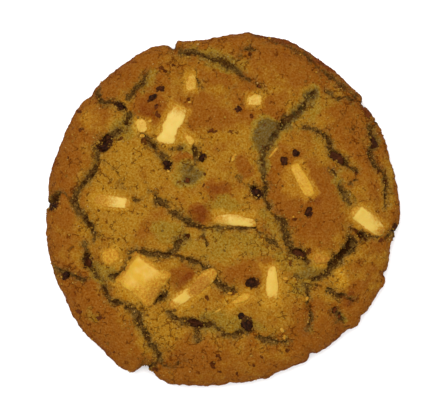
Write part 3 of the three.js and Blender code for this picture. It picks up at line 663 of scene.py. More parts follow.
def seen(*levels):
    """The pigment for a colour that should look like this in the picture, in 0 to 255."""
    shares = [level / 255 for level in levels]
    straight = [share / 12.92 if share <= 0.04045 else ((share + 0.055) / 1.055) ** 2.4
                for share in shares]
    return tuple(value / LIGHT_LEVEL for value in straight) + (1.0,)


print("crust in linear light:", [round(value, 3) for value in seen(146, 85, 18)])

# %% [markdown]
# ## Node graphs that read like sums
# A material is a graph of nodes joined by wires. Written out node by node it soon hides what it
# means, so a Wire knows how to be added to, multiplied and stepped, and a Graph makes the nodes
# that take more than that.

# %% Wire
class Wire:
    """A value on its way through a graph. Sums of wires make Math nodes."""

    def __init__(self, graph, socket):
        self.graph, self.socket = graph, socket

    def math(self, operation, first, second):
        return self.graph.wire("ShaderNodeMath", 0, {0: first, 1: second}, operation=operation)

    def __add__(self, other):
        return self.math("ADD", self, other)

    def __sub__(self, other):
        return self.math("SUBTRACT", self, other)

    def __rsub__(self, other):
        return self.math("SUBTRACT", other, self)

    def __mul__(self, other):
        return self.math("MULTIPLY", self, other)

    def __rtruediv__(self, other):
        return self.math("DIVIDE", other, self)

    def step(self, low, high, to_low=0.0, to_high=1.0):
        """A smooth step of the value between two limits."""
        return self.graph.wire("ShaderNodeMapRange", "Result",
                               {"Value": self, "From Min": low, "From Max": high,
                                "To Min": to_low, "To Max": to_high},
                               interpolation_type="SMOOTHSTEP")


# %% [markdown]
# A node that is set in one line is easy to read: its kind, the output that is wanted, what goes
# into it, and its settings.

# %% Graph
class Graph:
    """A node tree, with the nodes that this cookie's materials need."""

    def __init__(self, tree):
        self.tree = tree

    def node(self, kind, inputs=(), **settings):
        made = self.tree.nodes.new(kind)
        for setting, value in settings.items():
            setattr(made, setting, value)
        for name, value in dict(inputs).items():
            if isinstance(value, Wire):
                self.tree.links.new(value.socket, made.inputs[name])
            else:
                made.inputs[name].default_value = value
        return made

    def wire(self, kind, output, inputs=(), **settings):
        return Wire(self, self.node(kind, inputs, **settings).outputs[output])

    def mix(self, factor, first, second, blend="MIX"):
        """One colour over another, by a factor."""
        return self.wire("ShaderNodeMix", 2, {0: factor, 6: first, 7: second},
                         data_type="RGBA", blend_type=blend, clamp_factor=True)

    def noise(self, place, size_mm, detail=2.0, roughness=0.5, distortion=0.0, output="Fac"):
        return self.wire("ShaderNodeTexNoise", output,
                         {"Vector": place, "Scale": 1 / size_mm, "Detail": detail,
                          "Roughness": roughness, "Distortion": distortion})

    def moved(self, place, shift):
        """The same place moved along, so that a second noise doesn't repeat the first."""
        return self.wire("ShaderNodeVectorMath", 0, {0: place, 1: (shift, -shift, shift)})

    def millimetres(self):
        """Object coordinates in mm."""
        place = self.wire("ShaderNodeTexCoord", "Object")
        return self.wire("ShaderNodeMapping", "Vector",
                         {"Vector": place, "Scale": (1 / MM, 1 / MM, 1 / MM)})

    def number(self, name):
        """The number that a piece keeps for each of its points."""
        return self.wire("ShaderNodeAttribute", "Fac", attribute_name=name)

    def surface(self, colour, roughness, height=None, bump_mm=0.1, **constants):
        """The shader itself: everything that varies arrives by wire, the rest is set here."""
        shader = self.node("ShaderNodeBsdfPrincipled",
                           {"Base Color": colour, "Roughness": roughness})
        for socket, value in constants.items():
            shader.inputs[socket.replace("_", " ")].default_value = value
        if height is not None:
            bump = self.wire("ShaderNodeBump", "Normal", {"Height": height, "Strength": 1.0,
                                                          "Distance": bump_mm * MM})
            self.tree.links.new(bump.socket, shader.inputs["Normal"])
        self.node("ShaderNodeOutputMaterial", {"Surface": Wire(self, shader.outputs["BSDF"])})


def new_material(name):
    material = bpy.data.materials.new(name)
    material.use_nodes = True
    material.node_tree.nodes.clear()
    return material, Graph(material.node_tree)


# %% [markdown]
# ## A node group for baked crumb
# Dough, the film of dough over a chocolate piece and the loose crumbs all show the same fine
# crumb, so it is one group with its own inputs, placed in each material. It gives a slow mottle,
# fine grain, dark specks where sugar burnt, pale flecks, short crackle lines, and a height for
# the bump. The grain's colour is partly its own tone and partly painted shade and highlight:
# darker and redder in the low spots of that height, paler and yellower on its high ones. The
# crackle is the edges between cells, bent by noise and shown only here and there; the dough
# paints it dark as the shade in fine cracks.

# %% Baked crumb group
# the grain's colour pair: painted shade in its low spots, painted highlight on its high ones
DARK_GRAIN_AND_SHADE = (0.80, 0.59, 0.0, 1.0)   # what a dark grain leaves of red, green and blue
EVEN_GRAIN = (1.0, 1.0, 1.0, 1.0)
PALE_GRAIN_AND_HIGHLIGHT = (1.20, 1.48, 3.3, 1.0)
CELL_MM = 2.3                         # size of the cells whose edges are the crackle
BEND_MM = 1.8                         # how far those edges are bent
CRUMB_INPUTS = {"Vector": "Vector", "Grain size": "Float", "Cracked": "Float"}
CRUMB_OUTPUTS = {"Mottle": "Float", "Grain": "Float", "Shade": "Color", "Specks": "Float",
                 "Crackle": "Float", "Flecks": "Float", "Height": "Float"}


def baked_crumb_group():
    tree = bpy.data.node_groups.new("baked crumb", "ShaderNodeTree")
    for side, sockets in (("INPUT", CRUMB_INPUTS), ("OUTPUT", CRUMB_OUTPUTS)):
        for name, kind in sockets.items():
            tree.interface.new_socket(name, in_out=side, socket_type="NodeSocket" + kind)
    g = Graph(tree)
    given = g.node("NodeGroupInput")
    place, grain_size, cracked = [Wire(g, given.outputs[name]) for name in CRUMB_INPUTS]

    mottle = g.noise(place, 3.4, detail=4.0, roughness=0.62)
    grain = g.wire("ShaderNodeTexNoise", "Fac", {"Vector": place, "Scale": 1.0 / grain_size,
                                                 "Detail": 4.0, "Roughness": 0.7})
    shade = g.mix(grain.step(0.5, 0.36), EVEN_GRAIN, DARK_GRAIN_AND_SHADE)
    shade = g.mix(grain.step(0.5, 0.64), shade, PALE_GRAIN_AND_HIGHLIGHT)
    spot = g.noise(place, 0.7, roughness=0.55, distortion=0.4)
    speck = (spot + cracked * 0.12).step(0.74, 0.80)
    pale_spot = g.noise(g.moved(place, 37.0), 0.7, roughness=0.6, distortion=0.3)
    fleck = pale_spot.step(0.73, 0.79)

    bend = g.noise(place, 1.1, detail=3.0, output="Color")
    bent = g.wire("ShaderNodeVectorMath", 0, {0: bend, 1: (BEND_MM,) * 3, 2: place},
                  operation="MULTIPLY_ADD")
    edges = g.wire("ShaderNodeTexVoronoi", "Distance", {"Vector": bent, "Scale": 1 / CELL_MM},
                   feature="DISTANCE_TO_EDGE")
    here = g.noise(g.moved(place, 23.0), 2.2) + cracked * 0.22
    broken = g.noise(place, 1.3).step(0.40, 0.50)
    crackle = edges.step(0.055, 0.02) * here.step(0.57, 0.63) * broken

    height = grain - speck * 0.6 - crackle * 0.6 + fleck * 0.4
    g.node("NodeGroupOutput", zip(CRUMB_OUTPUTS, (mottle, grain, shade, speck, crackle, fleck,
                                                  height)))
    return tree


BAKED_CRUMB = baked_crumb_group()


def baked_crumb(g, place, grain_mm, cracked=0.0):
    """The group placed in a material, its outputs by name."""
    made = g.node("ShaderNodeGroup", zip(CRUMB_INPUTS, (place, grain_mm, cracked)),
                  node_tree=BAKED_CRUMB)
    return {output.name: Wire(g, output) for output in made.outputs}


print("baked crumb group:", len(BAKED_CRUMB.nodes), "nodes")

# %% [markdown]
# ## Colour of the dough
# Baked dough has no single colour. Skin that stood up in the heat is orange brown, sheltered skin
# is golden, and dough that was torn open late is a dull olive. Where it lies deep, in hollows and
# in fissures, it is painted darker as shade, and so are the banks that sag into a fissure and the
# fine cracks of the crust. So each point of the dough keeps numbers: how toasted, raw, glowing,
# stained and cracked it is, where raw above 1 marks a hollow painted in shade, and how far it
# lies from a lip, a split or a berry. The graph turns those into colour with the crumb on top,
# and adds noise to each number, so edges stay crisp and ragged between mesh points.

# %% Dough material
def dough_material():
    material, g = new_material("baked dough")
    place = g.millimetres()
    baked = baked_crumb(g, place, 0.45, g.number("cracked"))
    mottle, grain = baked["Mottle"], baked["Grain"]
    ragged = g.noise(place, 0.7, detail=3.0, roughness=0.7, distortion=0.3) - 0.5
    patchy = g.noise(g.moved(place, 57.0), 6.0, detail=3.0, roughness=0.6) - 0.5
    drift = g.noise(g.moved(place, 73.0), 4.6, detail=3.0, roughness=0.6) - 0.5
    stretch = g.noise(g.moved(place, 5.0), 2.2).step(0.42, 0.60)
    grainy = grain.step(0.42, 0.60)

    # skin: golden, toasted, olive, and lit from below by chocolate
    toast = g.number("toast") + (mottle - 0.5) * 1.3 + patchy
    colour = g.mix(toast.step(0.12, 0.88), seen(168, 117, 27), seen(146, 85, 18))
    colour = g.mix(toast.step(1.0, 1.6), colour, seen(124, 61, 13))
    raw = g.number("raw") + ragged * 0.6 + drift * 1.6
    # above 1 the raw number marks a hollow: painted shade, a darker olive
    hollow_shade = raw.step(1.0, 2.0)
    colour = g.mix(raw.step(0.2, 0.95), colour, seen(154, 115, 30))
    colour = g.mix(hollow_shade, colour, seen(112, 86, 34))
    colour = g.mix(g.number("glow"), colour, seen(200, 144, 34))
    lip, gape = g.number("lip_mm"), g.number("gape")
    # the banks that sag into a fissure: painted shade
    bank_shade = (lip + ragged).step(1.5, 0.1) * gape
    colour = g.mix(bank_shade * 0.45, colour, seen(108, 76, 32))

    # crumb: its grain partly painted shade and highlight, its crackle lines painted dark as shade
    colour = g.mix(1.0, colour, baked["Shade"], "MULTIPLY")
    colour = g.mix(baked["Flecks"] * 0.5, colour, seen(206, 154, 86))
    colour = g.mix(baked["Specks"] * 0.65, colour, seen(98, 38, 2))
    # crackle lines: painted shade in fine cracks of the crust
    colour = g.mix(baked["Crackle"] * 0.75, colour, seen(100, 42, 0))

    # the floor of a fissure, torn dough painted darker as shade, its core painted darkest as
    # the shade where it is deep, and the split at its bottom painted dark as the shade in it
    edge = lip + ragged * 2.6
    shade = edge.step(0.15, -0.15)
    floor_dark = g.mix(grainy, seen(76, 44, 10), seen(122, 84, 36))
    floor_pale = g.mix(grainy, seen(98, 68, 24), seen(146, 108, 48))
    floor_pale = g.mix(hollow_shade, floor_pale, seen(104, 84, 38))
    colour = g.mix(shade * gape, colour, g.mix(stretch, floor_dark, floor_pale))
    # painted shade: darkest where the fissure is deep
    deep_shade = (edge + stretch).step(-0.3, -0.7) * g.number("depth")
    colour = g.mix(deep_shade, colour, seen(60, 34, 12))
    # the hairline split at the bottom: painted dark as the shade in it
    split_shade = (g.number("split_mm") + ragged * 1.5).step(0.12, -0.1)
    split_shade = split_shade * (1.0 - stretch * 0.5) * (0.66 - hollow_shade * 0.4)
    colour = g.mix(split_shade, colour, seen(62, 31, 3))

    # juice of the berries, and the dough right beside them
    stain = (g.number("stain") + ragged * 0.8).step(0.3, 0.45)
    colour = g.mix(stain * 0.9, colour, g.mix(grainy, seen(62, 26, 6), seen(98, 46, 12)))
    berry = (g.number("berry_mm") + ragged * 2.4).step(0.05, -0.2)
    colour = g.mix(berry * 0.9, colour, g.mix(grainy, seen(38, 21, 12), seen(78, 37, 18)))

    roughness = mottle.step(0.2, 0.8, to_low=0.72, to_high=0.9)
    g.surface(colour, roughness, baked["Height"] - shade * 0.4, bump_mm=0.28,
              Specular_IOR_Level=0.02)
    return material


DOUGH = dough_material()
print("dough material:", len(DOUGH.node_tree.nodes), "nodes")

# %% [markdown]
# ## Where the dough is toasted, raw or glowing
# The oven's heat reaches the rim and the tops of the plates first. These patches are the ones
# that stand out: toasted mounds, golden and olive places that the heat reached late, olive
# hollows painted darker as shade, crazed crust, and places where a piece of chocolate lies just
# under a thin skin and lights it up.

# %% Patches of colour
# [x, y, half length, half width, turn in degrees, amount]
TOASTED = [
    [20, 2, 13, 8.4, -62, 0.75], [14.5, -0.5, 3.4, 6, -20, 0.6], [-9.2, -17.2, 3.5, 3.2, 0, 1.05],
    [6, -14.8, 5.8, 4.2, 0, 0.45], [21, -24.5, 5, 3.4, 0, 0.5], [-5.8, -0.8, 3, 2.4, 40, 1.1],
    [-1, 5, 2.8, 2.6, 0, 0.9], [5.2, 10.4, 2, 2.4, 0, 0.8], [-29, -30, 13, 7, -46, 0.3],
    [24, -31.5, 9, 6, 38, 0.4], [-40, 8, 12, 4, 78, 0.3], [-26, 33, 10, 4, 38, 0.3],
    [18, 36, 12, 6, -30, 0.3], [31, 24, 5, 4, -30, 0.2], [35.6, -16.5, 5, 5, 60, 0.1],
    [-18, -4.5, 5, 3, 20, 0.35], [-33, 21, 5, 4, 20, 0.2], [-18.5, 25, 4, 4, 30, 0.8],
    [-8, -36, 10, 5, -10, 0.3], [3, 32, 6, 3, -20, 0.5], [-37, -20, 6, 5, 60, 0.3],
    [13, 25.6, 4, 3, 20, 0.6], [-4.5, -1, 8, 2.4, 8, 0.3], [30.6, -21, 3, 3, 0, 0.7],
    [-10, 13.2, 3.4, 2.2, -14, 0.45], [5.5, 23.6, 3, 1.6, -30, 0.5], [14, 10, 1.6, 3, -20, 0.5],
    [31, 17.5, 6, 3, -30, 0.3], [14.6, -2, 2.4, 5, -10, 0.5], [-18.6, 31.0, 4.6, 2.4, 50, 0.6],
    [13, 42.8, 7, 1.2, -14, 0.9], [-6, 24, 13, 5, 0, 0.35], [23, 38.2, 6, 1.4, -36, 1.0],
    [31, 31.6, 6, 1.5, -50, 0.3],
]
GOLDEN = [
    [-24, 4, 9, 9, 0, 0.45], [-16, -31.5, 5, 6, -20, 0.9], [41, -14, 9, 3, 70, 0.7],
    [41.5, 8, 9, 2.4, 84, 0.7], [0, -8.5, 12, 5, 0, 0.3], [25, 29.5, 5, 4, 0, 0.5],
    [-20, 12, 6, 6, 0, 0.3], [0, -24, 10, 4, 0, 0.05], [17, -22, 4, 5, 0, 0.3],
    [-30.5, 21.6, 5, 3.4, 20, 0.3], [-13.4, 14.6, 2.8, 2.2, 0, 0.6], [-3, -6, 5, 1.6, 0, 0.5],
]
# olive where dough was torn open late; an amount above 1 also marks a hollow painted darker as
# shade
OLIVE_AND_HOLLOW_SHADE = [
    [10.2, 18.6, 3.4, 4.6, 10, 2.5], [12.6, 20.4, 3.0, 1.8, -20, 2.2],
    [10.4, 14.4, 1.6, 3.0, 0, 1.6], [-12.5, -6, 7, 3.4, -20, 0.95],
    [15.6, -12.6, 5, 3.2, -20, 0.9], [21.5, -15.6, 4.4, 2.6, 10, 1.55], [0.5, 1.6, 5, 2.6, 0, 1.0],
    [-18.6, 31.4, 4.6, 2.4, 50, 0.7], [1, -28, 9, 3, 0, 1.1], [-24.4, 20.2, 4, 3.4, 40, 1.1],
    [29.6, 5, 6, 1.8, -62, 0.9], [-8.2, 8.4, 3.8, 3.2, 0, 1.95], [-29.6, -15.8, 5, 2.4, -20, 1.2],
    [2, -9, 12, 4.4, 0, 0.75], [24, 16.5, 3.4, 2.0, -40, 0.6], [-1, 37, 8, 2.6, -24, 1.0],
    [22.4, 24.4, 6, 2.4, 52, 0.7], [21.6, 27.6, 3.0, 1.5, 62, 1.8],
    [18.2, 23.6, 3.4, 1.5, 42, 1.8], [15.2, 20.8, 3.0, 1.8, 40, 1.8],
    [9.9, 10.6, 1.4, 3.4, 6, 1.5], [29.2, -26.8, 1.2, 2.6, 38, 1.4], [-3, -5.6, 6, 2, 0, 0.8],
    [12.6, -3.4, 2, 6, 20, 0.85], [-33.6, -26.4, 2.6, 2.4, 0, 0.5], [33.6, 20.4, 2, 6, 20, 0.3],
    [-8.7, 15.4, 2.6, 1.2, -10, 1.2], [20, -19.4, 3.4, 3.4, 0, 0.95], [-33.2, -3.4, 2, 5, 30, 0.5],
    [9, -6.8, 3, 2, -30, 0.7],
]
# where the crust crazed into many short cracks
CRACKED = [
    [24, 35.4, 12, 2.2, -38, 1.0], [33.4, 26.6, 4, 3, -50, 0.9], [-14, -30.4, 5, 5, 0, 0.9],
    [-27, -7.4, 5, 3, 20, 0.8], [20, -19.6, 4, 5, 0, 0.7], [12, -9.4, 5, 2.6, -30, 0.8],
    [-13, 35.2, 5, 2.4, 30, 0.8], [-28, 8, 5, 4, -50, 0.7], [-18, 12.4, 5, 3, -30, 0.6],
    [9, 27.6, 5, 4, -50, 0.5], [34, 18.6, 3.6, 6, 20, 0.8], [-10, -38, 10, 3, 0, 0.8],
    [13, -33.4, 6, 2.6, -10, 0.9], [-36, 13.6, 4, 4, 0, 0.5], [-32, -27, 5, 2.6, 0, 0.7],
    [30.6, -21, 4, 2, -30, 0.7], [-38, -16, 5, 3, -20, 1.0], [-5, 2.4, 4, 2, 0, 0.4],
    [27, 30, 4, 2.4, -20, 0.8], [39.6, 8, 2.4, 9, 8, 0.6], [-1, -33, 8, 4, 0, 0.5],
    [17, -28, 5, 4, 0, 0.5], [-31, 27, 4, 2.4, 0, 0.7], [3, 38.4, 8, 2, 10, 0.7],
]
GLOWING = [
    [-20.4, -17.6, 6.6, 6.4, -29, 0.55], [-28.4, 2.6, 4.4, 2.0, -8, 0.45],
    [28.9, -17.8, 2.4, 4.2, -12, 0.75], [-27.4, -11.6, 2.6, 2.4, 0, 0.6],
    [-26.2, -13.6, 3.2, 2.6, 0, 0.1], [-33.2, 22.6, 2.2, 2.2, 0, 0.4],
    [16.4, 6.4, 3.4, 2.6, -60, 0.45], [-6.8, -19.6, 6, 2.6, 40, 0.45],
    [12.2, -18.6, 2.4, 6, 0, 0.35], [4.2, -22.4, 4, 1.8, 23, 0.4], [33.4, -1, 3.4, 2.4, -40, 0.1],
    [-7.9, 31.4, 1.9, 3.4, 0, 0.3],
]
# [x, y, radius, amount]: where juice of a berry bled through
STAINS = [
    [-34.8, 19.9, 0.7, 0.8], [-2.0, 19.4, 0.6, 0.8], [-11.1, 2.6, 0.4, 0.8], [-4.7, 8.7, 0.6, 0.7],
    [-29.5, -11, 0.6, 0.8], [-8.7, -6.6, 0.6, 0.8], [-3.8, -21.8, 0.7, 0.8],
    [-0.9, -40.2, 0.7, 0.7], [-0.6, -36.9, 0.5, 0.7], [7.9, -38.6, 0.6, 0.7],
    [3.6, -40.9, 0.6, 0.7], [16.1, -34.8, 0.7, 0.7], [17.4, -2.6, 0.6, 0.8], [-36, 24.5, 0.7, 0.7],
    [-38.7, 12.7, 0.6, 0.6], [-30.6, -26.8, 2.0, 0.4], [-25.0, 17.4, 0.7, 0.6],
    [-25.4, 19.0, 0.7, 0.6], [-31.8, 16.2, 1.0, 0.4], [-19.6, 16.9, 0.9, 0.8],
    [1.8, 19.0, 0.9, 0.5], [7.2, 23.2, 0.8, 0.6], [-15.4, 35, 0.6, 0.8], [-14.5, 34.2, 0.6, 0.8],
    [-12.2, 35.5, 0.6, 0.7], [-8.3, 27, 0.5, 0.8], [-31, 15, 0.9, 0.4], [39.4, -7.8, 1.2, 0.45],
    [32.6, -5.2, 0.7, 0.7], [34, -6.4, 0.7, 0.7], [35.6, -7.2, 0.7, 0.7], [16.6, -13, 0.9, 0.6],
    [20.8, -10.4, 1.2, 0.6], [2.2, -20.8, 0.7, 0.7], [6.5, 38.4, 0.7, 0.7],
    [-1.4, -36.2, 0.7, 0.8], [-2.4, -38.6, 0.8, 0.8], [-16.6, -39.8, 1.0, 0.6],
    [-18.2, -39.4, 0.8, 0.6], [-27.2, -35.6, 0.5, 0.6], [9.6, -36.4, 0.5, 0.6],
    [40.4, 7.0, 0.8, 0.7], [38.6, 9.6, 0.7, 0.6], [33.0, 9.2, 0.7, 0.7], [-4.8, 6.0, 0.6, 0.6],
]


def patches(x, y, rows):
    """The strongest of the patches at each point."""
    return np.maximum.reduce([row[5] * mound(x, y, row) for row in rows])


print(len(TOASTED + GOLDEN + OLIVE_AND_HOLLOW_SHADE + CRACKED + GLOWING), "patches,", len(STAINS), "stains")

# %% [markdown]
# ## Dressing the dough
# The patches are read at places led astray by noise, as the lips were. Heat browns the rim and
# the wall, chocolate beside or below a point makes it glow, and the base, which lay on a hot
# tray, is evenly brown with nothing else on it.

# %% Finish the dough
DRIFT = [(1.3, 4.2), (0.9, 1.9)]   # (height, size) in mm of the noises that move the patches
EVEN_HEAT, RIM_HEAT, WALL_HEAT, BASE_HEAT = 0.40, 0.35, 0.7, 1.3   # 0 is pale and 1 is brown
final = np.array([vert.co[:] for vert in dough_bm.verts])
height_now = final[:, 2]
flat_x = wander_x + noises_at(points, DRIFT, (91.0, 93.0))
flat_y = wander_y + noises_at(points, DRIFT, (95.0, 97.0))
share = np.hypot(flat_x, flat_y) / rim_radius(np.arctan2(flat_y, flat_x))
underside = smoothstep(0.3, 0.05, height_now)
high_up = smoothstep(1.0, 4.0, height_now)

heat = EVEN_HEAT + RIM_HEAT * smoothstep(0.66, 0.95, share)
heat += patches(flat_x, flat_y, TOASTED)
heat -= 0.6 * patches(flat_x, flat_y, GOLDEN) + 0.25 * torn
heat += WALL_HEAT * smoothstep(9.0, 2.0, height_now)
heat += (BASE_HEAT - heat) * underside
near_lip = np.exp(-np.maximum(lip_mm, 0) / 1.2) * smoothstep(0.2, 1.0, gape_mm)
# olive near lips and in patches; above 1 it marks hollows that the dough paints darker as shade
rawness = np.maximum(patches(flat_x, flat_y, OLIVE_AND_HOLLOW_SHADE), 0.5 * near_lip)
rawness *= smoothstep(2.5, 7.0, height_now)
glow = patches(flat_x, flat_y, GLOWING) * (1 - np.exp(-np.maximum(lip_mm, 0) / 0.6))
glow = np.maximum(glow, 0.5 * beside(wander_x, wander_y, blocks, 1.3)) * (1 - underside)
cracked = np.maximum(patches(flat_x, flat_y, CRACKED), 0.9 * near_lip)
cracked = np.maximum(cracked, 0.6 * smoothstep(0.93, 0.99, share)) * (1 - underside)
stain = np.maximum.reduce([amount * np.exp(-((wander_x - x) ** 2 + (wander_y - y) ** 2)
                                           / radius ** 2) for x, y, radius, amount in STAINS])

finish_piece(dough_bm, "baked_dough", "dough", DOUGH, ["dough"],
             lip_mm=np.clip(lip_mm, -3, 6), gape=smoothstep(0.0, 0.55, gape_mm) * high_up,
             depth=smoothstep(0.8, 1.8, gape_mm) * high_up, toast=heat, raw=rawness, glow=glow,
             stain=stain * high_up, cracked=cracked,
             split_mm=np.clip(split_mm, -2, 4) + 3 * (1 - high_up),
             berry_mm=np.clip(berry_mm, -2, 4))

# %% [markdown]
# ## Blocks of chocolate
# A chopped piece goes in with flat sides and sharp corners, and the oven softens it to a rounded
# block. A bevelled cube would keep its faces long and thin, so each starts as a cube, is
# subdivided, and has its points pulled on to a rounded block, which keeps the faces even.

# %% Rounded blocks
PROFILE = 2.6   # how square a block is across: 2 is round


def rounded_block(size, squareness, cuts):
    """A cube with many faces, its points pulled on to a block: square from above, domed across."""
    bm = bmesh.new()
    bmesh.ops.create_cube(bm, size=2.0)
    bmesh.ops.subdivide_edges(bm, edges=bm.edges, cuts=cuts, use_grid_fill=True)
    for vert in bm.verts:
        plan = (abs(vert.co.x) ** squareness + abs(vert.co.y) ** squareness) ** (1 / squareness)
        vert.co *= (plan ** PROFILE + abs(vert.co.z) ** PROFILE) ** (-1 / PROFILE)
        vert.co = [part * side / 2 for part, side in zip(vert.co, size)]
    return bm


def widened(thickness, proud):
    """How much wider a domed block is at its middle than where the crust cuts it."""
    sunk = 1 - 2 * proud / thickness
    return (1 - sunk ** PROFILE) ** (-1 / PROFILE)


def carve(bm, size, taper, belly=0.0, pinch=0.0):
    """Narrows one end of a block, rounds one of its long sides, or hollows all four."""
    for vert in bm.verts:
        u, v = vert.co.x / (size[0] / 2), vert.co.y / (size[1] / 2)
        keep = (1 - taper * (u + 1) / 2) if taper > 0 else (1 + taper * (1 - u) / 2)
        bulge = 1 - belly * u * u
        vert.co.x *= 1 - pinch * max(0, 1 - v * v)
        vert.co.y = (vert.co.y * keep * bulge * (1 - pinch * max(0, 1 - u * u))
                     - size[1] / 2 * (1 - bulge))


def wobble(bm, size, amount, seed):
    """Pushes each point in or out a little, by noise that differs from piece to piece."""
    bm.normal_update()
    for vert in bm.verts:
        vert.co += vert.normal * amount * noise.fractal(vert.co / size + Vector((seed, 0, 0)),
                                                        *OCTAVE_STEP, 3)


# %% [markdown]
# A piece that sank into dough leans with the crust round it. So its seat is found by feeling the
# crust's slope a short way to each side, and the piece is turned and then tipped to match.

# %% Seats
FEELER_MM = 1.5


def seat(bm, row):
    """Moves a piece to where it lies: leaning with the crust, its top standing proud of it."""
    x, y, _, _, thickness, turn, proud = row
    xs = np.array([x + FEELER_MM, x - FEELER_MM, x, x, x])
    ys = np.array([y, y, y + FEELER_MM, y - FEELER_MM, y])
    east, west, north, south, here = crust_height(xs, ys)
    up = Vector((-(east - west) / (2 * FEELER_MM), -(north - south) / (2 * FEELER_MM),
                 1.0)).normalized()
    lean = Vector((0, 0, 1)).rotation_difference(up).to_matrix().to_4x4()
    spin = Matrix.Rotation(math.radians(turn), 4, "Z")
    centre = Vector((x, y, here)) + up * (proud - thickness / 2)
    bmesh.ops.transform(bm, matrix=Matrix.Translation(centre) @ lean @ spin, verts=bm.verts)


def buried(bm, proud):
    """1 where a piece dips under the crust, 0 where it stands clear of it."""
    places = np.array([vert.co[:] for vert in bm.verts])
    height = places[:, 2] - crust_height(places[:, 0], places[:, 1])
    height += 0.25 * proud * crumb_at(places, size=1.3, shift=33.0)
    return smoothstep(0.55 * proud, 0.0, height)


# %% [markdown]
# ## Colour of white chocolate
# Clean chocolate is ivory, and yellower where fat came to its surface. Where dough crept over it,
# first a thin film shows, then baked skin. The veil, a number kept at each point, says how much.
# A little light goes into the piece and out again, so it is given some subsurface light.

# %% Chocolate material
def chocolate_material():
    material, g = new_material("white chocolate")
    place = g.millimetres()
    baked = baked_crumb(g, place, 0.5)
    cloud = g.noise(place, 2.6)
    pale = g.number("cream") + (cloud - 0.5) * 0.9
    colour = g.mix(pale, seen(214, 162, 32), seen(226, 193, 92))
    colour = g.mix(pale.step(1.0, 1.7), colour, seen(230, 212, 150))
    ragged = g.noise(place, 0.9, detail=3.0, roughness=0.6) - 0.5
    veil = g.number("veil") + ragged * 0.5
    thin, thick = veil.step(0.0, 0.65), veil.step(0.6, 1.0)
    colour = g.mix(thin * 0.92, colour, seen(190, 132, 20))
    colour = g.mix(thick, colour, seen(174, 116, 22))
    # the crumb's grain on the film: its own tone with painted shade and highlight
    colour = g.mix(thin, colour, g.mix(1.0, colour, baked["Shade"], "MULTIPLY"))
    roughness = veil.step(0.1, 0.7, to_low=0.42, to_high=0.8)
    g.surface(colour, roughness, baked["Grain"] * thin + cloud * 0.5, bump_mm=0.14,
              Specular_IOR_Level=0.15, Subsurface_Weight=0.12, Subsurface_Scale=2 * MM)
    return material


WHITE_CHOCOLATE = chocolate_material()
print("chocolate material:", len(WHITE_CHOCOLATE.node_tree.nodes), "nodes")

# %% [markdown]
# ## The pieces of chocolate
# Each block is made wider than it shows, because its widest part lies below the crust. The veil
# is thickest of three: where the piece dips under, close to its sides, and in the places listed.

# %% Make the chocolate pieces
SOFT_EDGE = 1.1   # how far dough creeps in over the sides of a wide piece, in mm
for index, (row, form, veils) in enumerate(CHOCOLATE, start=1):
    _, _, length, width, thickness, _, proud = row
    corner, taper, belly, pinch, cream = form
    wider = widened(thickness, proud)
    size = (length * wider, width * wider, thickness)
    bm = rounded_block(size, corner, cuts=15)
    local = np.array([vert.co[:] for vert in bm.verts]) / (np.array(size) / 2) * wider
    carve(bm, size, taper, belly, pinch)
    wobble(bm, size=2.4, amount=0.055 * width, seed=index * 3.7)
    seat(bm, row)
    from_side = np.minimum(length * (1 - np.abs(local[:, 0])), width * (1 - np.abs(local[:, 1])))
    soft_reach = min(SOFT_EDGE, 0.3 * width)
    from_side += 0.25 * soft_reach * crumb_at(local * np.array(size), size=1.6, shift=44.0)
    veil = np.maximum(0.9 * buried(bm, proud), 0.7 * smoothstep(soft_reach, 0.0, from_side))
    for along, across, reach, amount in veils:
        away = ((local[:, 0] - along) ** 2 + (0.5 * (local[:, 1] - across)) ** 2) / reach ** 2
        veil = np.maximum(veil, amount * np.exp(-away))
    finish_piece(bm, "chocolate_piece_%02d" % index, "white_chocolate", WHITE_CHOCOLATE,
                 ["white_chocolate_%02d" % index], veil=veil, cream=cream)

# %% [markdown]
# ## Flakes and slivers
# Two thin splinters of chocolate lie flat in the crust. They kept their corners, so their blocks
# are squarer and rougher. The slivers are too small to keep apart, so they are one piece.

# %% Make the flakes and slivers
for index, (row, taper, cover) in enumerate(FLAKES, start=1):
    bm = rounded_block(row[2:5], squareness=6.0, cuts=11)
    carve(bm, row[2:4], taper)
    wobble(bm, size=1.1, amount=0.32, seed=50 + index)
    seat(bm, row)
    finish_piece(bm, "chocolate_splinter_%02d" % index, "white_chocolate", WHITE_CHOCOLATE,
                 ["chocolate_flake_%02d" % index],
                 veil=np.maximum(0.8 * buried(bm, row[6]), cover), cream=0.0)

slivers = bmesh.new()
for index, row in enumerate(SLIVERS):
    bm = rounded_block(row[2:5], squareness=2.6, cuts=3)
    wobble(bm, size=0.5, amount=0.12, seed=70 + index)
    seat(bm, row)
    add_to(slivers, bm)
finish_piece(slivers, "chocolate_slivers", "white_chocolate", WHITE_CHOCOLATE, veil=0.55,
             cream=0.5)

# %% [markdown]
# ## Colour of the cranberries
# A dried cranberry is almost black after baking, with red where light gets through its skin. The
# colour follows its folds, and flour dusts some of it.

# %% Cranberry material
def cranberry_material():
    material, g = new_material("dried cranberry")
    place = g.millimetres()
    folds = g.noise(place, 0.6, detail=3.0, roughness=0.6, distortion=0.6)
    colour = g.mix(folds.step(0.42, 0.7), seen(32, 16, 6), seen(74, 37, 16))
    colour = g.mix(g.number("thin"), colour, seen(112, 54, 14))
    dust = g.noise(place, 1.1, detail=3.0, roughness=0.6).step(0.6, 0.75)
    colour = g.mix(dust * 0.5, colour, seen(98, 58, 30))
    roughness = folds.step(0.3, 0.7, to_low=0.5, to_high=0.75)
    g.surface(colour, roughness, folds, bump_mm=0.25, Specular_IOR_Level=0.04)
    return material


CRANBERRY = cranberry_material()
print("cranberry material:", len(CRANBERRY.node_tree.nodes), "nodes")

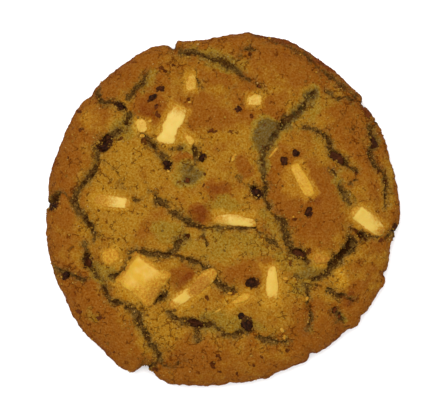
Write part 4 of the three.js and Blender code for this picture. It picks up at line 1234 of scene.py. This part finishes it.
# %% [markdown]
# ## The cranberries
# The berry is a leathery bag folded on itself. An icosphere has no poles to hide, so wrinkles run
# over it evenly. They are ridged noise: the fold is where the noise crosses zero.

# %% Make the cranberries
ROUNDNESS = 2.3            # 2 is an egg, higher is boxier
FOLD_SIZES = (1.1, 0.5)    # in mm, the fine folds half as strong as the coarse
FOLD_DEPTH = 0.32
FOLD_SHARPNESS = 6
DENT_SIZE, DENT_DEPTH = 0.55, 0.34   # both as shares of the berry's width
APART = 5.1                # along the noise from one berry to the next, in mm
# how much light gets through the skin of a piece, where any does
THIN_SKIN = {5: 0.1, 6: 0.25, 7: 0.15, 8: 0.8, 11: 0.25, 12: 0.15, 13: 0.3}


def cranberry(row, detail, seed):
    bm = bmesh.new()
    bmesh.ops.create_icosphere(bm, subdivisions=detail, radius=1.0)
    for vert in bm.verts:
        vert.co *= sum(abs(part) ** ROUNDNESS for part in vert.co) ** (-1 / ROUNDNESS)
        vert.co = [part * side / 2 for part, side in zip(vert.co, row[2:5])]
    bm.normal_update()
    width = row[3]
    for vert in bm.verts:
        where = vert.co + Vector((seed * APART, 0, 0))
        coarse, fine = [abs(noise.noise(where / fold)) for fold in FOLD_SIZES]
        crease = FOLD_DEPTH * math.exp(-FOLD_SHARPNESS * (coarse + 0.5 * fine))
        dent = DENT_DEPTH * width * noise.noise(where / (DENT_SIZE * width))
        vert.co += vert.normal * (dent - crease)
    seat(bm, row)
    return bm


for index, row in enumerate(CRANBERRIES, start=1):
    finish_piece(cranberry(row, detail=4, seed=index), "cranberry_piece_%02d" % index,
                 "cranberry", CRANBERRY, ["cranberry_%02d" % index],
                 thin=THIN_SKIN.get(index, 0.0))
all_bits, bit_thin = bmesh.new(), []
for index, row in enumerate(CRANBERRY_BITS, start=1):
    bit = cranberry(row, detail=3, seed=40 + index)
    lit_through = 0.75 * float(smoothstep(2.4, 1.2, row[2]))   # more in a shorter bit
    bit_thin += [lit_through] * len(bit.verts)
    add_to(all_bits, bit)
finish_piece(all_bits, "cranberry_bits", "cranberry", CRANBERRY, thin=bit_thin)

# %% [markdown]
# ## Colour of the crumbs
# A crumb broke off somewhere, so it is anything from pale inside to toasted outside. Each one
# keeps a tone of its own, and the olive of the dough that it lies on.

# %% Crumb material
def crumb_material():
    material, g = new_material("loose crumb")
    baked = baked_crumb(g, g.millimetres(), 0.4)
    tone = g.number("tone")
    colour = g.mix(tone.step(0.0, 0.7), seen(104, 60, 14), seen(172, 122, 36))
    colour = g.mix(tone.step(0.86, 1.0), colour, seen(182, 134, 62))
    colour = g.mix(g.number("raw") * 0.5, colour, seen(128, 104, 40))
    # the crumb's grain: its own tone with painted shade and highlight
    colour = g.mix(1.0, colour, baked["Shade"], "MULTIPLY")
    g.surface(colour, roughness=0.85, height=baked["Height"], Specular_IOR_Level=0.02)
    return material


LOOSE_CRUMB = crumb_material()
print("crumb material:", len(LOOSE_CRUMB.node_tree.nodes), "nodes")

# %% [markdown]
# ## Loose crumbs
# Wherever the crust tore, crumbs stand up along the lips and lie about on the plates. Each is a
# ball of few faces, squashed and turned at random, set on a point of the finished dough. Points
# near a lip are drawn more often, and points on chocolate not at all. The random numbers start
# from a fixed seed, so the same crumbs fall in the same places each time.

# %% Scatter crumbs
CRUMBS = 2600
SEED = 12
BATCH = 60              # a small bmesh is quick to add shapes to, a large one slow
LOWEST = 5.0            # crumbs lie above this height
FROM_LIP, REACH = 0.25, 0.7     # where beside a lip they gather, and how far they spread
ELSEWHERE = 0.05        # how often a point far from a lip is drawn, where one at it counts 1
SMALLEST, SPREAD = 0.10, 0.24   # radius of the smallest crumb, and what the largest adds
LIFT = 0.45             # height of a crumb's middle over the crust, as a share of its radius
draw = np.random.default_rng(SEED)
top_side = np.flatnonzero(height_now > LOWEST)
closeness = (np.exp(-np.abs(lip_mm[top_side] - FROM_LIP) / REACH)
             * smoothstep(0.3, 1.2, gape_mm[top_side]))
odds = (ELSEWHERE + closeness) * (on_chocolate[top_side] < 0.4)
chosen = draw.choice(top_side, CRUMBS, replace=False, p=odds / odds.sum())
crumbs, batch = bmesh.new(), bmesh.new()
tones = []
for number, at in enumerate(chosen, start=1):
    radius = SMALLEST + SPREAD * draw.random() ** 2.2
    shape = Matrix.Diagonal((*(radius * (0.5 + 0.9 * draw.random(3))), 1.0))
    turned = Matrix.Rotation(draw.random() * math.tau, 4, draw.normal(size=3).tolist())
    place = Matrix.Translation(final[at] + np.array([0.0, 0.0, LIFT * radius]))
    bmesh.ops.create_icosphere(batch, subdivisions=1, radius=1.0, matrix=place @ turned @ shape)
    if number % BATCH == 0 or number == CRUMBS:
        add_to(crumbs, batch)
    tones.append(draw.random())
each = len(crumbs.verts) // CRUMBS
finish_piece(crumbs, "loose_crumbs", "dough", LOOSE_CRUMB, tone=np.repeat(tones, each),
             raw=np.repeat(rawness[chosen], each))

# %% [markdown]
# ## Floor
# The cookie lies on a plain white sheet, wide enough to fill the picture from any side. It is not
# part of the object.

# %% Floor
FLOOR_REACH = 1.5   # metres from the middle to each side
sheet, sheet_graph = new_material("white sheet")
sheet_graph.surface((0.95, 0.95, 0.95, 1.0), roughness=0.9)
floor_bm = bmesh.new()
bmesh.ops.create_grid(floor_bm, x_segments=8, y_segments=8, size=FLOOR_REACH)
floor = object_from(floor_bm, "floor", sheet)
print("floor:", len(floor.data.polygons), "faces")

# %% [markdown]
# ## Light
# One large soft light stands up and to the left, as a window would, a weaker one overhead, and an
# even sky fills the shadows. Hard light would draw every crumb twice.

# %% Lights
SKY_STRENGTH = 0.8
world = bpy.data.worlds.new("studio")
bpy.context.scene.world = world
world.use_nodes = True
sky = world.node_tree.nodes["Background"]
sky.inputs["Color"].default_value = (1.0, 1.0, 1.0, 1.0)
sky.inputs["Strength"].default_value = SKY_STRENGTH


def soft_light(name, place, size, watts):
    """A square light in metres, turned to the cookie."""
    lamp = bpy.data.lights.new(name, "AREA")
    lamp.shape, lamp.size, lamp.energy = "SQUARE", size, watts
    lit = bpy.data.objects.new(name, lamp)
    lit.location = place
    lit.rotation_euler = (-Vector(place)).to_track_quat("-Z", "Y").to_euler()
    bpy.context.scene.collection.objects.link(lit)
    print(name, "light:", watts, "W")


soft_light("window", (-0.16, 0.20, 0.74), size=0.42, watts=4.8)
soft_light("ceiling", (0.15, -0.1, 0.9), size=0.6, watts=3.4)

# %% [markdown]
# ## Camera
# The camera looks straight down through a long lens, as for a catalogue. Its distance follows
# from the width that the picture should take in. The cookie's middle lies a little off centre.

# %% Camera
LENS_MM = 150.0
SENSOR_MM = 36.0
FRAME_WIDTH_MM = 111.5
LOOK_AT_MM = (0.0, 0.25, 6.0)
lens = bpy.data.cameras.new("camera")
lens.lens, lens.sensor_width, lens.sensor_fit = LENS_MM, SENSOR_MM, "HORIZONTAL"
camera = bpy.data.objects.new("camera", lens)
distance = FRAME_WIDTH_MM * LENS_MM / SENSOR_MM
camera.location = (LOOK_AT_MM[0] * MM, LOOK_AT_MM[1] * MM, (LOOK_AT_MM[2] + distance) * MM)
bpy.context.scene.collection.objects.link(camera)
bpy.context.scene.camera = camera
bpy.context.scene.view_settings.view_transform = "Standard"
print("camera at %.0f mm" % (camera.location.z / MM))
